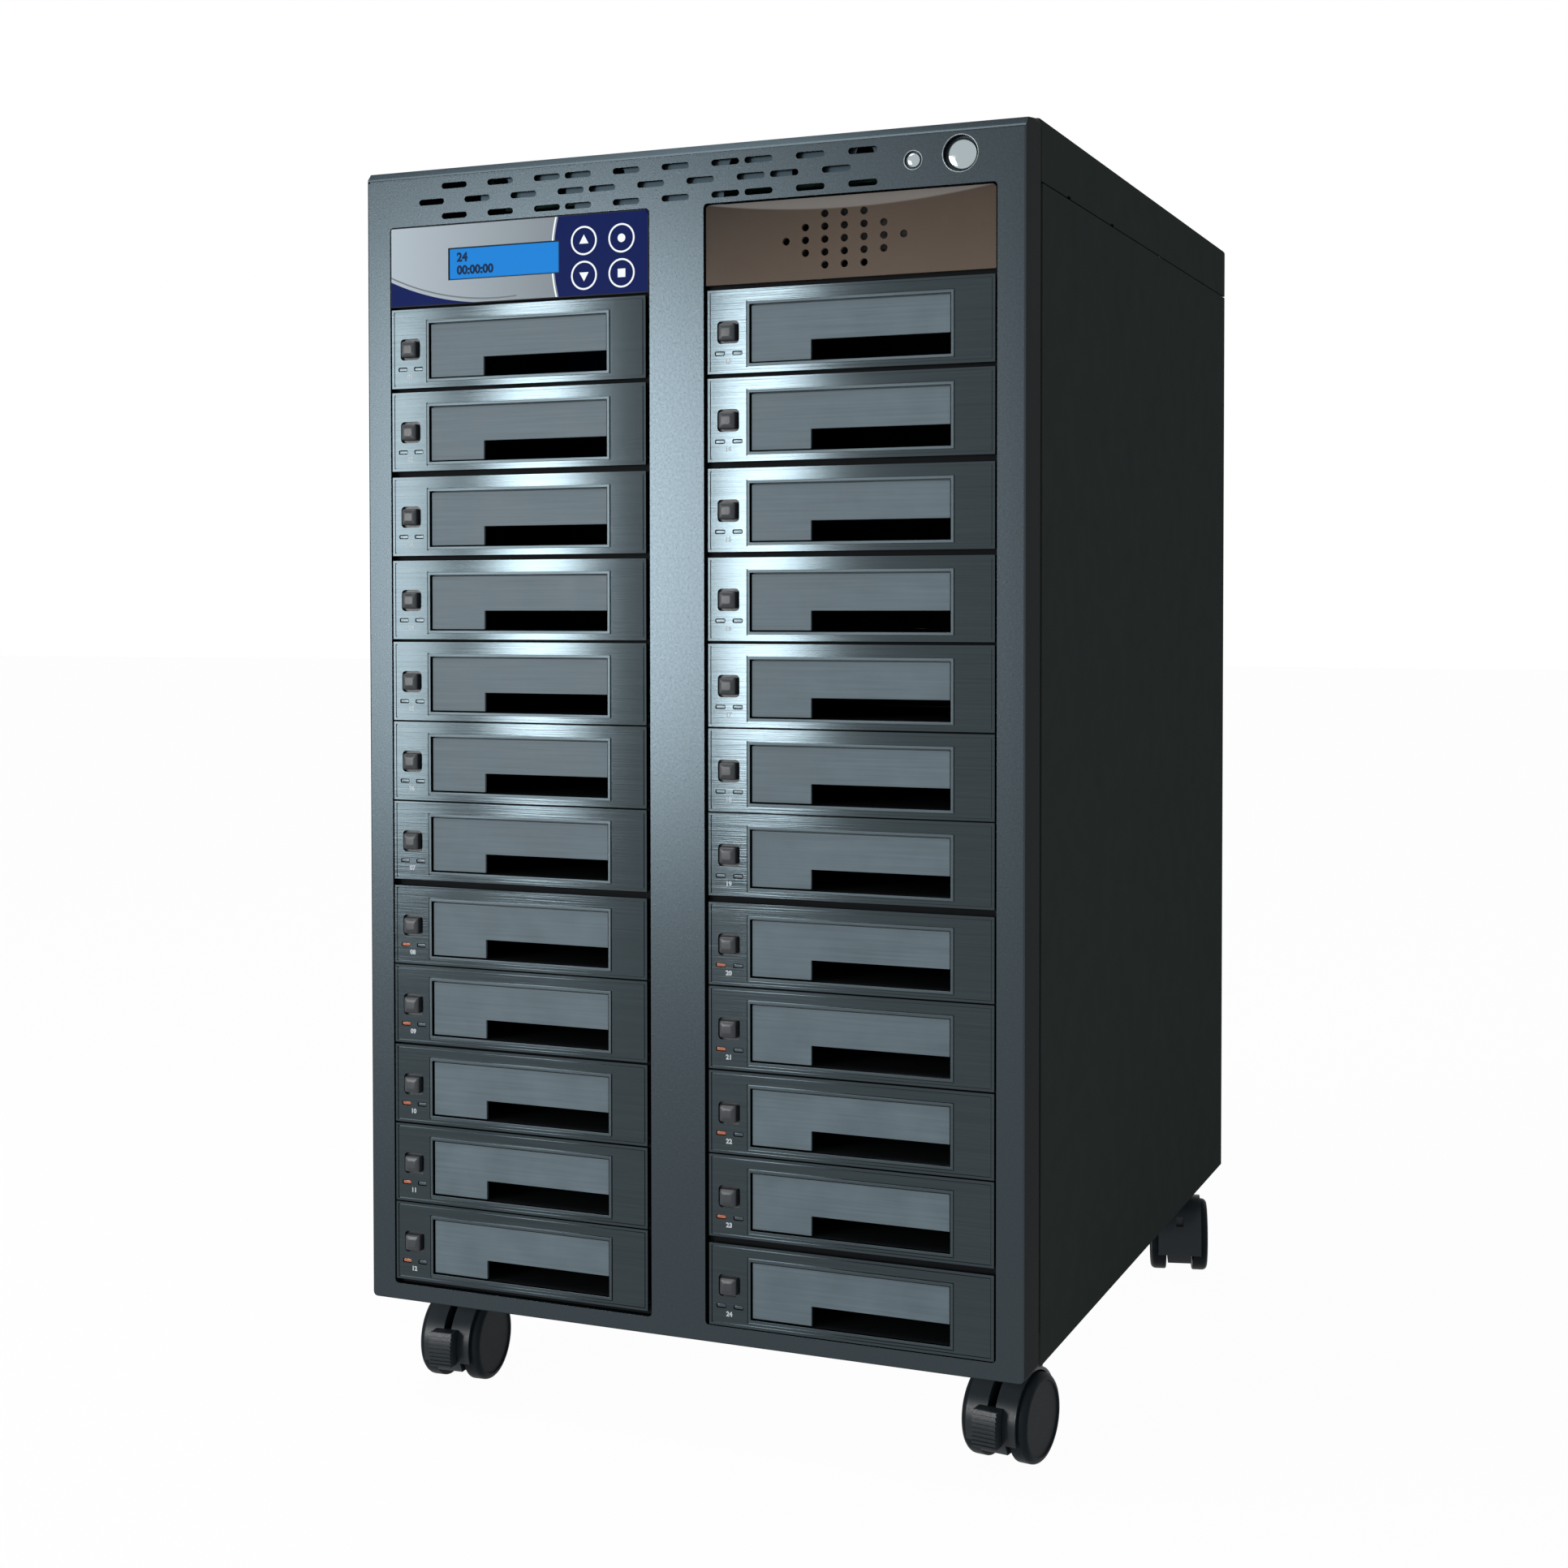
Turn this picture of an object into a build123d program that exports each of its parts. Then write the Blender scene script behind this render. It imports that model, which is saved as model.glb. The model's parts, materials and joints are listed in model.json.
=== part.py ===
from build123d import *

from math import asin, degrees
import os

# Hard drive duplicator tower on casters: two columns of trayless drive racks with swinging
# dust flaps, a control panel, a perforated cover plate and sheet-metal covers.
# Millimetres, +X right, +Y to the back, +Z up. The origin is on the floor, under the middle
# of the whole outline.

# Body
side_margin = 13.7
strip_height = 33.26
body_depth = 449.2
floor_clearance = 57.0
sheet = 1.2
tray_sheet = 1.5
seam = 0.3

# Front bezel
bezel_depth = 24.2
bezel_wall = 2.0
bezel_top_radius = 9.0
bezel_bottom_radius = 2.5
bezel_edge_bevel = 1.0
crease_drop = 8.3
crease_depth = 7.5
crease_bulge = 0.9
cover_gap = 2.0
panel_gap = 3.8
flange_rise = 3.5
seam_notch_depths = (75.0, 160.0)
seam_notch_width = 6.0
base_flange_height = 16.0

# Bays in the bezel
bay_pitch = 42.38
bay_count = 13
bay_width = 149.6
pillar_width = 29.4
bay_bottom = 8.6
bay_corner_radius = 2.0
bay_edge_bevel = 0.8
lip_wall = 1.5
lip_depth = 8.0

# Vent slots in the top strip
vent_length = 14.8
vent_width = 2.3
vent_pitch = 26.9
vent_short_pitch = 17.6
vent_row_pitch = 7.7
vent_rows = 3
vent_columns = 10
vent_from_edge = 52.3
vent_from_top = 13.8

# Racks
rack_count = 12
rack_gap = 1.78
face_slack = 2.2
face_sheet = 1.5
face_bevel = 0.6
face_inset = 1.0
left_stack_drop = 42.74
right_stack_drop = 42.54
left_gaps = (2.2, 3.2, 2.6, 1.5, 0.9, 0.9, 3.4, 0.8, 1.2, 0.9, 0.7)
right_gaps = (2.2, 3.3, 2.8, 1.5, 0.9, 0.7, 3.3, 0.8, 0.9, 0.8, 3.4)
mouth_width = 102.7
mouth_height = 28.6
mouth_left = 22.3
mouth_bottom = 4.5
rim_width = 1.6
rim_proud = 0.8
tray_floor = 1.2
tray_tail = 18.5
rail_rise = 2.9
rail_sheet = 1.2
rail_clearance = 0.15

# Dust flap with its hinge rod, whose ends are the pins
flap_clearance = 0.4
flap_recess = 0.4
flap_sheet = 1.6
notch_width = 70.3
notch_height = 10.2
hinge_depth = 3.2
hinge_rise = 0.7
rod_sides = 6
bracket_height = 2.6
bracket_bite = 0.6
flap_pin_radius = 0.9
pin_clearance = 0.05
pin_reach = 1.5

# Eject button and lamps
eject_hole_width = 11.6
eject_hole_height = 11.0
eject_hole_left = 5.1
eject_hole_bottom = 14.5
eject_clearance = 0.9
eject_proud = 3.0
eject_crown = 1.4
eject_flange = 0.8
eject_flange_sheet = 1.0
eject_play = 0.4
lamp_width = 5.4
lamp_height = 2.2
lamp_left = 3.8
lamp_pitch = 9.3
lamp_bottom = 8.7
lamp_clearance = 0.1
lamp_depth = 3.0

# Backplane board of a rack
board_sheet = 1.6
board_depth = 152.0
board_clearance = 0.4
socket_left = 26.0
socket_width = 38.0
socket_height = 6.5
socket_bottom = 8.5
socket_reach = 7.5

# Drive cage
cage_tail = 34.5
cage_headroom = 5.46
shelf_sheet = 1.2

# Control panel and cover plate
panel_height = 41.04
panel_sheet = 1.5
panel_radius = 3.0
plate_height = 39.64
plate_sheet = 2.0
window_width = 63.5
window_height = 15.5
window_shift_x = -7.7
window_shift_z = 0.1
tab_depth = 60.0
tab_sheet = 1.0
tab_margin = 3.0
sound_hole = 3.0
sound_hole_sides = 6
sound_pitch_x = 10.0
sound_pitch_z = 6.1
sound_shift_x = -1.5
sound_shift_z = -0.9
display_depth = 9.0
display_margin = 8.0

# Controller board
board_width = 240.0
board_length = 130.0
standoff = 6.0
standoff_radius = 3.0
standoff_inset = 8.0
chip_side = 28.0
chip_height = 5.0
chip_pitch = 60.0
chip_count = 3
header_width = 18.0
header_length = 14.0
header_pitch = 28.0
header_count = 8
header_inset = 13.0

# Buttons in the top strip
power_from_edge = 31.7
power_from_top = 19.0
power_recess_radius = 9.0
power_recess = 3.0
power_radius = 7.0
power_front = 1.4
reset_from_edge = 55.0
reset_from_top = 20.5
reset_recess_radius = 4.75
reset_recess = 1.0
reset_radius = 3.4
reset_front = -0.6
collar_wall = 2.0
collar_sides = 8
collar_depth = 10.0
button_clearance = 0.1
button_bevel = 1.0
button_flange = 1.6
button_flange_sheet = 1.2
button_play = 0.3

# Back of the case
psu_width = 150.0
psu_height = 86.0
psu_length = 140.0
psu_rise = 4.0
psu_edge = 4.0
psu_foot_width = 12.0
psu_foot_length = 16.0
psu_foot_inset = 2.0
psu_slots = 6
psu_slot_x = 40.0
psu_slot_length = 52.0
psu_slot_depth = 3.0
fan_size = 120.0
fan_depth = 25.0
fan_hole_pitch = 105.0
fan_ring = 3.0
fan_hub_radius = 20.0
fan_clearance = 2.0
fan_blades = 7
fan_blade_turn = 38.0
fan_blade_sheet = 1.6
fan_z = 400.0
fan_strut = 5.0
fan_shaft_radius = 1.5
fan_hub_gap = 0.4
grille_slot = 5.0
grille_pitch = 9.0
rear_vent_rows = 4
rear_vent_length = 110.0
rear_vent_z = 200.0
inlet_width = 27.0
inlet_height = 20.0
inlet_depth = 22.0
inlet_flange = 2.0
inlet_lip = 2.5
inlet_wall = 2.5
pin_pitch = 7.0
pin_shift = 2.0
pin_width = 2.0
pin_height = 4.0
pin_length = 14.0
inlet_x = -50.0
inlet_z = 62.0
rocker_width = 13.0
rocker_height = 19.0
rocker_x = -18.0
rocker_clearance = 0.5
rocker_depth = 7.0
rocker_proud = 1.6
rocker_sunk = 0.6
rocker_root = 4.0
screw_flats = 6.0
screw_head = 2.4
screw_inset = 12.0
screw_rows = 4

# Casters
wheel_radius = 22.0
wheel_inner = 8.0
wheel_tread_end = 13.5
wheel_outer = 17.5
wheel_disc_radius = 18.9
axle_radius = 2.95
axle_clearance = 0.05
caster_lead = 15.0
hood_radius = 24.3
hood_gap = 0.8
hood_width = 26.4
hood_front_end = -8.0
hood_back_end = 4.0
web_width = 14.4
web_bottom = -13.8
boss_radius = 9.5
boss_floor = 1.5
stem_radius = 4.0
stem_length = 18.5
plate_side = 38.0
plate_thick = 2.5
swivel_gap = 0.3
stem_inset = 21.5
front_stem_depth = 72.0
rear_stem_inset = 32.2
front_left_turn = 4.0
front_right_turn = -8.0
rear_left_turn = -15.0
rear_right_turn = 15.0

# Brake pedal
pedal_width = 12.5
pedal_bottom = -8.0
pedal_top = 10.0
pedal_thick = 6.5
pedal_gap = 0.6
pedal_ribs = 9
rib_depth = 0.8
rib_width = 1.1
rib_margin = 1.5
arm_width = 3.6
arm_height = 5.0
arm_bite = 1.5
slot_side_gap = 0.4
slot_top = 20.0
pivot_y = -9.0
pivot_z = 6.0
pivot_radius = 1.5
pivot_bite = 1.0
plain_slot_depth = 6.0
eye_radius = 3.3
eye_gap = 0.6

# Worked-out sizes and places. Heights are from the body's bottom unless floor_clearance is added
bay_height = bay_pitch * bay_count
bay_top = bay_bottom + bay_height
bay_x = pillar_width / 2 + bay_width / 2
bay_middle_z = bay_bottom + bay_height / 2
body_width = 2 * (bay_x + bay_width / 2 + side_margin)
body_height = bay_top + strip_height
half_width = body_width / 2
body_top = floor_clearance + body_height
front_y = -(body_depth + screw_head - eject_proud) / 2
back_y = front_y + body_depth
flange_bottom = bay_top + flange_rise
face_width = bay_width - face_inset - face_slack
face_height = bay_pitch - rack_gap
rail_height = mouth_height + rail_rise
tray_depth = board_depth + tray_tail
cage_depth = tray_depth + cage_tail
cage_rise = bay_top + cage_headroom
fill_width = bay_width - 2 * seam
panel_bottom = bay_top - seam - panel_height
plate_bottom = bay_top - seam - plate_height
window_x = -bay_x + window_shift_x
window_z = panel_bottom + panel_height / 2 + window_shift_z
sound_x = bay_x + sound_shift_x
sound_z = plate_bottom + plate_height / 2 + sound_shift_z
power_x = half_width - power_from_edge
power_z = body_height - power_from_top
reset_x = half_width - reset_from_edge
reset_z = body_height - reset_from_top
stem_x = half_width - stem_inset
rear_stem_depth = body_depth - rear_stem_inset
front_plane = Plane(origin=(0, front_y, floor_clearance), x_dir=(1, 0, 0), z_dir=(0, -1, 0))
back_plane = Plane(origin=(0, back_y, floor_clearance), x_dir=(-1, 0, 0), z_dir=(0, 1, 0))

os.makedirs("parts", exist_ok=True)


def save(builder, name):
    """Label a finished piece and write it under the same name."""
    builder.part.label = name
    export_step(builder.part, f"parts/{name}.step")


def depth_plane(depth):
    """The upright plane that lies the given depth behind the bezel's front face."""
    return front_plane.offset(-depth)


def stack(left_edge, top, gaps):
    """Lower left corners of a column's rack faces, from the top one down."""
    corners = []
    bottom = top - face_height
    for index in range(rack_count):
        corners.append((left_edge, front_y, floor_clearance + bottom))
        if index < len(gaps):
            bottom -= gaps[index] + face_height
    return corners


left_corners = stack(-bay_x - bay_width / 2 + face_inset, bay_top - left_stack_drop, left_gaps)
right_corners = stack(bay_x - bay_width / 2 + face_slack, bay_top - right_stack_drop, right_gaps)
all_corners = left_corners + right_corners


def place_all(prototype, corners, name):
    """One node that holds a copy of the prototype at each corner."""
    with BuildPart() as group:
        with Locations(*corners):
            add(prototype.part)
    save(group, name)


# Front bezel: a deep pressed tray with two tall bays and a creased top edge
with BuildPart() as bezel_pocket:
    with BuildSketch(depth_plane(bezel_wall)):
        with Locations((0, body_height / 2)):
            Rectangle(body_width - 2 * bezel_wall, body_height - 2 * bezel_wall)
    extrude(amount=-bezel_depth)
    with BuildSketch(Plane.YZ.offset(-half_width)):
        with BuildLine():
            pocket_front = front_y + bezel_wall
            pocket_top = body_top - bezel_wall
            Polyline(
                (pocket_front, floor_clearance),
                (pocket_front, body_top - crease_drop - bezel_wall / 2),
                (pocket_front + crease_depth, pocket_top),
                (pocket_front + bezel_depth, pocket_top),
                (pocket_front + bezel_depth, floor_clearance),
                close=True,
            )
        make_face()
    extrude(amount=body_width, mode=Mode.INTERSECT)

with BuildSketch() as vent_outline:
    with BuildLine():
        vent_end = vent_length / 2
        vent_straight = (vent_length - vent_width) / 2
        Polyline(
            (-vent_end, 0),
            (-vent_straight, vent_width / 2),
            (vent_straight, vent_width / 2),
            (vent_end, 0),
            (vent_straight, -vent_width / 2),
            (-vent_straight, -vent_width / 2),
            close=True,
        )
    make_face()

with BuildPart() as front_bezel:
    with BuildSketch(front_plane):
        with Locations((0, body_height / 2)):
            Rectangle(body_width, body_height)
    extrude(amount=-bezel_depth)
    upright = front_bezel.edges().filter_by(Axis.Y)
    fillet(upright.group_by(Axis.Z)[-1], bezel_top_radius)
    fillet(front_bezel.edges().filter_by(Axis.Y).group_by(Axis.Z)[0], bezel_bottom_radius)
    with BuildSketch(Plane.YZ.offset(-half_width)):
        with BuildLine():
            crease = (front_y, body_top - crease_drop)
            ridge = (front_y + crease_depth, body_top)
            middle = (
                (crease[0] + ridge[0]) / 2 - crease_bulge,
                (crease[1] + ridge[1]) / 2 + crease_bulge,
            )
            ThreePointArc(crease, middle, ridge)
            Polyline(
                ridge,
                (front_y + bezel_depth, body_top),
                (front_y + bezel_depth, floor_clearance),
                (front_y, floor_clearance),
                crease,
            )
        make_face()
    extrude(amount=body_width, mode=Mode.INTERSECT)
    front_edges = front_bezel.edges().filter_by(Axis.Z).group_by(Axis.Y)[0]
    chamfer(front_edges, bezel_edge_bevel)
    add(bezel_pocket.part, mode=Mode.SUBTRACT)
    with BuildSketch(depth_plane(bezel_wall)):
        with Locations((-bay_x, bay_middle_z), (bay_x, bay_middle_z)):
            Rectangle(bay_width + 2 * lip_wall, bay_height + 2 * lip_wall)
    extrude(amount=-lip_depth)
    with BuildSketch(front_plane):
        with Locations((-bay_x, bay_middle_z), (bay_x, bay_middle_z)):
            RectangleRounded(bay_width, bay_height, bay_corner_radius)
    extrude(amount=-bezel_depth, mode=Mode.SUBTRACT)
    bay_faces = front_bezel.faces().filter_by(Axis.Y).sort_by(Axis.Y)[0]
    chamfer(bay_faces.inner_wires().edges(), bay_edge_bevel)
    with BuildSketch(front_plane):
        for row in range(vent_rows):
            short_after = (3, 7) if row % 2 else (2, 6)
            x = vent_from_edge - half_width - (vent_pitch / 2 if row % 2 else 0)
            for column in range(vent_columns):
                with Locations((x, body_height - vent_from_top - row * vent_row_pitch)):
                    add(vent_outline.sketch)
                x += vent_short_pitch if column in short_after else vent_pitch
    extrude(amount=-bezel_wall, mode=Mode.SUBTRACT)
    for centre, recess_radius, recess, bore_radius in (
        ((power_x, power_z), power_recess_radius, power_recess, power_radius),
        ((reset_x, reset_z), reset_recess_radius, reset_recess, reset_radius),
    ):
        with BuildSketch(depth_plane(bezel_wall)):
            with Locations(centre):
                RegularPolygon(recess_radius + collar_wall, collar_sides)
        extrude(amount=-(collar_depth - bezel_wall))
        with BuildSketch(front_plane):
            with Locations(centre):
                Circle(recess_radius)
        extrude(amount=-recess, mode=Mode.SUBTRACT)
        with BuildSketch(front_plane):
            with Locations(centre):
                Circle(bore_radius + button_clearance)
        extrude(amount=-collar_depth, mode=Mode.SUBTRACT)
save(front_bezel, "front_bezel")


def strip_button(centre, radius, front_depth):
    """A push button with a bevelled front and a stop flange behind its collar."""
    with BuildPart() as button:
        with BuildSketch(depth_plane(front_depth)):
            with Locations(centre):
                Circle(radius)
        extrude(amount=-(collar_depth + button_play - front_depth))
        chamfer(button.faces().sort_by(Axis.Y)[0].edges(), button_bevel)
        with BuildSketch(depth_plane(collar_depth + button_play)):
            with Locations(centre):
                RegularPolygon(radius + button_flange, collar_sides)
        extrude(amount=-button_flange_sheet)
    return button


save(strip_button((power_x, power_z), power_radius, power_front), "power_button")
save(strip_button((reset_x, reset_z), reset_radius, reset_front), "reset_button")

# Covers: a folded top cover over two flat side panels
cover_front = front_y + bezel_depth + cover_gap
with BuildPart() as top_cover:
    cover_plane = Plane(origin=(0, cover_front, floor_clearance), x_dir=(1, 0, 0), z_dir=(0, -1, 0))
    with BuildSketch(cover_plane):
        cover_drop = body_height - flange_bottom
        with Locations((0, body_height - cover_drop / 2)):
            Rectangle(body_width, cover_drop)
        with Locations((0, body_height - sheet - cover_drop / 2)):
            Rectangle(body_width - 2 * sheet, cover_drop, mode=Mode.SUBTRACT)
    extrude(amount=-(back_y - cover_front))
    folds = top_cover.edges().filter_by(Axis.Y).group_by(Axis.Z)[-1]
    fillet(folds, 2 * sheet)
    with BuildSketch(Plane.YZ.offset(-half_width)):
        for depth in seam_notch_depths:
            with Locations((front_y + depth, floor_clearance + flange_bottom)):
                Rectangle(seam_notch_width, 2 * sheet)
    extrude(amount=body_width, mode=Mode.SUBTRACT)
save(top_cover, "top_cover")

panel_front = front_y + bezel_depth + panel_gap
for side, name in ((-1, "side_panel_left"), (1, "side_panel_right")):
    with BuildPart() as side_panel:
        with BuildSketch(Plane.XY.offset(floor_clearance)):
            with Locations((side * (half_width - sheet / 2), (panel_front + back_y) / 2)):
                Rectangle(sheet, back_y - panel_front)
        extrude(amount=flange_bottom - 2 * seam)
    save(side_panel, name)

# Base tray with folded side flanges, and the back panel that stands on it
inner_half = half_width - sheet - seam
base_front = front_y + bezel_depth + seam
with BuildPart() as base_tray:
    base_plane = Plane(origin=(0, base_front, floor_clearance), x_dir=(1, 0, 0), z_dir=(0, -1, 0))
    with BuildSketch(base_plane):
        with BuildLine():
            Polyline(
                (-inner_half, 0),
                (inner_half, 0),
                (inner_half, base_flange_height),
                (inner_half - tray_sheet, base_flange_height),
                (inner_half - tray_sheet, tray_sheet),
                (-inner_half + tray_sheet, tray_sheet),
                (-inner_half + tray_sheet, base_flange_height),
                (-inner_half, base_flange_height),
                close=True,
            )
        make_face()
    extrude(amount=-(back_y - sheet - seam - base_front))
save(base_tray, "base_tray")

psu_middle_z = tray_sheet + psu_rise + psu_height / 2
with BuildPart() as rear_panel:
    rear_height = body_height - sheet - seam
    with BuildSketch(back_plane):
        with Locations((0, rear_height / 2)):
            Rectangle(2 * (half_width - sheet - seam), rear_height)
        with Locations((0, psu_middle_z)):
            Rectangle(psu_width - 2 * psu_edge, psu_height - 2 * psu_edge, mode=Mode.SUBTRACT)
        slot_count = int((fan_size - 2 * fan_ring) / grille_pitch) - 1
        for index in range(slot_count):
            rise = (index - (slot_count - 1) / 2) * grille_pitch
            reach = fan_size / 2 - fan_ring - grille_slot
            chord = 2 * (reach**2 - rise**2) ** 0.5
            with Locations((0, fan_z + rise)):
                Rectangle(chord, grille_slot, mode=Mode.SUBTRACT)
        for index in range(rear_vent_rows):
            with Locations((0, rear_vent_z + index * 2 * grille_pitch)):
                Rectangle(rear_vent_length, grille_slot, mode=Mode.SUBTRACT)
    extrude(amount=-sheet)
save(rear_panel, "rear_panel")

# Drive cage: four upright walls that stand on the base tray, and the shelf they carry
cage_front = front_y + bezel_wall + lip_depth + seam
cage_back = front_y + cage_depth
cage_middle_y = (cage_front + cage_back) / 2
cage_bottom = floor_clearance + tray_sheet + seam
with BuildPart() as bay_cage:
    with BuildSketch(Plane.XY.offset(floor_clearance + bay_bottom)):
        for side in (-1, 1):
            for edge in (-1, 1):
                wall_x = side * bay_x + edge * (bay_width / 2 + sheet / 2)
                with Locations((wall_x, cage_middle_y)):
                    Rectangle(sheet, cage_back - cage_front)
    extrude(amount=cage_rise - bay_bottom)
    with BuildSketch(Plane.XY.offset(cage_bottom)):
        for side in (-1, 1):
            for edge in (-1, 1):
                wall_x = side * bay_x + edge * (bay_width / 2 + sheet / 2)
                with Locations((wall_x, (base_front + cage_back) / 2)):
                    Rectangle(sheet, cage_back - base_front)
    extrude(amount=floor_clearance + bay_bottom - cage_bottom)
    with BuildSketch(Plane.XY.offset(floor_clearance + cage_rise)):
        with Locations((0, (base_front + cage_back) / 2)):
            Rectangle(2 * bay_x + bay_width + 2 * sheet, cage_back - base_front)
    extrude(amount=shelf_sheet)
save(bay_cage, "bay_cage")

# Controller board on its standoffs on the cage's shelf
with BuildPart() as control_board:
    shelf_top = floor_clearance + cage_rise + shelf_sheet
    board_middle = (0, cage_middle_y)
    with BuildSketch(Plane.XY.offset(shelf_top + standoff)):
        with Locations(board_middle):
            Rectangle(board_width, board_length)
    extrude(amount=board_sheet)
    with BuildSketch(Plane.XY.offset(shelf_top)):
        with Locations(board_middle):
            hole_pitch_x = board_width - 2 * standoff_inset
            hole_pitch_y = board_length - 2 * standoff_inset
            with GridLocations(hole_pitch_x, hole_pitch_y, 2, 2):
                RegularPolygon(standoff_radius, 6)
    extrude(amount=standoff)
    with BuildSketch(Plane.XY.offset(shelf_top + standoff + board_sheet)):
        with Locations(board_middle):
            with GridLocations(chip_pitch, 0, chip_count, 1):
                Rectangle(chip_side, chip_side)
        with Locations((board_middle[0], board_middle[1] + board_length / 2 - header_inset)):
            with GridLocations(header_pitch, 0, header_count, 1):
                Rectangle(header_width, header_length)
    extrude(amount=chip_height)
save(control_board, "control_board")

# One rack, drawn with its face's lower left front corner at the origin
mouth_middle = (mouth_left + mouth_width / 2, mouth_bottom + mouth_height / 2)
eject_middle = (eject_hole_left + eject_hole_width / 2, eject_hole_bottom + eject_hole_height / 2)
lamp_middles = [
    (lamp_left + lamp_width / 2 + index * lamp_pitch, lamp_bottom + lamp_height / 2) for index in range(2)
]
hinge_z = mouth_bottom + mouth_height + hinge_rise
rail_left = mouth_left - rail_clearance
rail_right = mouth_left + mouth_width + rail_clearance

with BuildPart() as rack_face:
    with BuildSketch(Plane.XZ):
        with Locations((face_width / 2, face_height / 2)):
            Rectangle(face_width, face_height)
    extrude(amount=-face_sheet)
    chamfer(rack_face.faces().sort_by(Axis.Y)[0].edges(), face_bevel)
    with BuildSketch(Plane.XZ):
        with Locations(mouth_middle):
            Rectangle(mouth_width + 2 * rim_width, mouth_height + 2 * rim_width)
    extrude(amount=rim_proud)
    with BuildSketch(Plane.XZ.offset(rim_proud)):
        with Locations(mouth_middle):
            Rectangle(mouth_width, mouth_height)
        with Locations(eject_middle):
            Rectangle(eject_hole_width, eject_hole_height)
        with Locations(*lamp_middles):
            Rectangle(lamp_width, lamp_height)
    extrude(amount=-(rim_proud + face_sheet), mode=Mode.SUBTRACT)
place_all(rack_face, all_corners, "rack_faces")

with BuildPart() as rack_tray:
    floor_overhang = face_inset - seam
    floor_right = face_width + floor_overhang
    with BuildSketch(Plane.XZ.offset(-face_sheet)):
        with BuildLine():
            floor_top = mouth_bottom
            Polyline(
                (-floor_overhang, floor_top - tray_floor),
                (floor_right, floor_top - tray_floor),
                (floor_right, floor_top),
                (rail_right + rail_sheet, floor_top),
                (rail_right + rail_sheet, floor_top + rail_height),
                (rail_right, floor_top + rail_height),
                (rail_right, floor_top),
                (rail_left, floor_top),
                (rail_left, floor_top + rail_height),
                (rail_left - rail_sheet, floor_top + rail_height),
                (rail_left - rail_sheet, floor_top),
                (-floor_overhang, floor_top),
                close=True,
            )
        make_face()
    extrude(amount=-tray_depth)
    with BuildSketch(Plane.YZ.offset(rail_left - rail_sheet)):
        pin_seat = hinge_z - flap_pin_radius - pin_clearance
        with Locations((hinge_depth, pin_seat + rail_height / 2)):
            Rectangle(2 * (flap_pin_radius + pin_clearance), rail_height)
    extrude(amount=rail_right - rail_left + 2 * rail_sheet, mode=Mode.SUBTRACT)
place_all(rack_tray, all_corners, "rack_trays")

with BuildPart() as rack_board:
    with BuildSketch(Plane.XZ.offset(-board_depth)):
        board_height = rail_height - 2 * board_clearance
        with Locations((mouth_middle[0], mouth_bottom + rail_height / 2)):
            Rectangle(rail_right - rail_left - 2 * board_clearance, board_height)
    extrude(amount=-board_sheet)
    with BuildSketch(Plane.XZ.offset(-board_depth)):
        with Locations((socket_left + socket_width / 2, socket_bottom + socket_height / 2)):
            Rectangle(socket_width, socket_height)
    extrude(amount=socket_reach)
place_all(rack_board, all_corners, "rack_backplanes")

with BuildPart() as rack_lamp:
    with BuildSketch(Plane.XZ):
        with Locations(*lamp_middles):
            Rectangle(lamp_width - 2 * lamp_clearance, lamp_height - 2 * lamp_clearance)
    extrude(amount=-lamp_depth)
place_all(rack_lamp, all_corners, "rack_lamps")

with BuildPart() as eject_button:
    cap_width = eject_hole_width - 2 * eject_clearance
    cap_height = eject_hole_height - 2 * eject_clearance
    flange_depth = face_sheet + eject_play
    with BuildSketch(Plane.XZ.offset(eject_proud - eject_crown)):
        with Locations(eject_middle):
            Rectangle(cap_width, cap_height)
    extrude(amount=-(eject_proud - eject_crown + flange_depth))
    with BuildSketch(Plane.XZ.offset(-flange_depth)):
        with Locations(eject_middle):
            Rectangle(eject_hole_width + 2 * eject_flange, eject_hole_height + 2 * eject_flange)
    extrude(amount=-eject_flange_sheet)
    with BuildSketch(Plane.XZ.offset(eject_proud - eject_crown)):
        with Locations(eject_middle):
            Rectangle(cap_width, cap_height)
    with BuildSketch(Plane.XZ.offset(eject_proud)):
        with Locations(eject_middle):
            Rectangle(cap_width - 2 * eject_crown, cap_height - 2 * eject_crown)
    loft()
place_all(eject_button, left_corners, "eject_buttons_left")
place_all(eject_button, right_corners, "eject_buttons_right")

with BuildPart() as dust_flap:
    flap_left = mouth_left + flap_clearance
    flap_right = mouth_left + mouth_width - flap_clearance
    flap_bottom = mouth_bottom + flap_clearance
    flap_top = mouth_bottom + mouth_height - flap_clearance
    notch_left = flap_right - notch_width
    notch_top = mouth_bottom + notch_height
    with BuildSketch(Plane.XZ.offset(-flap_recess)):
        with BuildLine():
            Polyline(
                (flap_left, flap_bottom),
                (notch_left, flap_bottom),
                (notch_left, notch_top),
                (flap_right, notch_top),
                (flap_right, flap_top),
                (flap_left, flap_top),
                close=True,
            )
        make_face()
    extrude(amount=-flap_sheet)
    with BuildSketch(Plane.YZ.offset(flap_left)):
        flap_back = flap_recess + flap_sheet
        with BuildLine():
            Polyline(
                (flap_back - bracket_bite, flap_top - bracket_height),
                (flap_back - bracket_bite, flap_top),
                (hinge_depth, hinge_z),
                (flap_back, flap_top - bracket_height),
                close=True,
            )
        make_face()
    extrude(amount=flap_right - flap_left)
    with BuildSketch(Plane.YZ.offset(flap_left - pin_reach)):
        with Locations((hinge_depth, hinge_z)):
            RegularPolygon(flap_pin_radius, rod_sides)
    extrude(amount=flap_right - flap_left + 2 * pin_reach)

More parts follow.
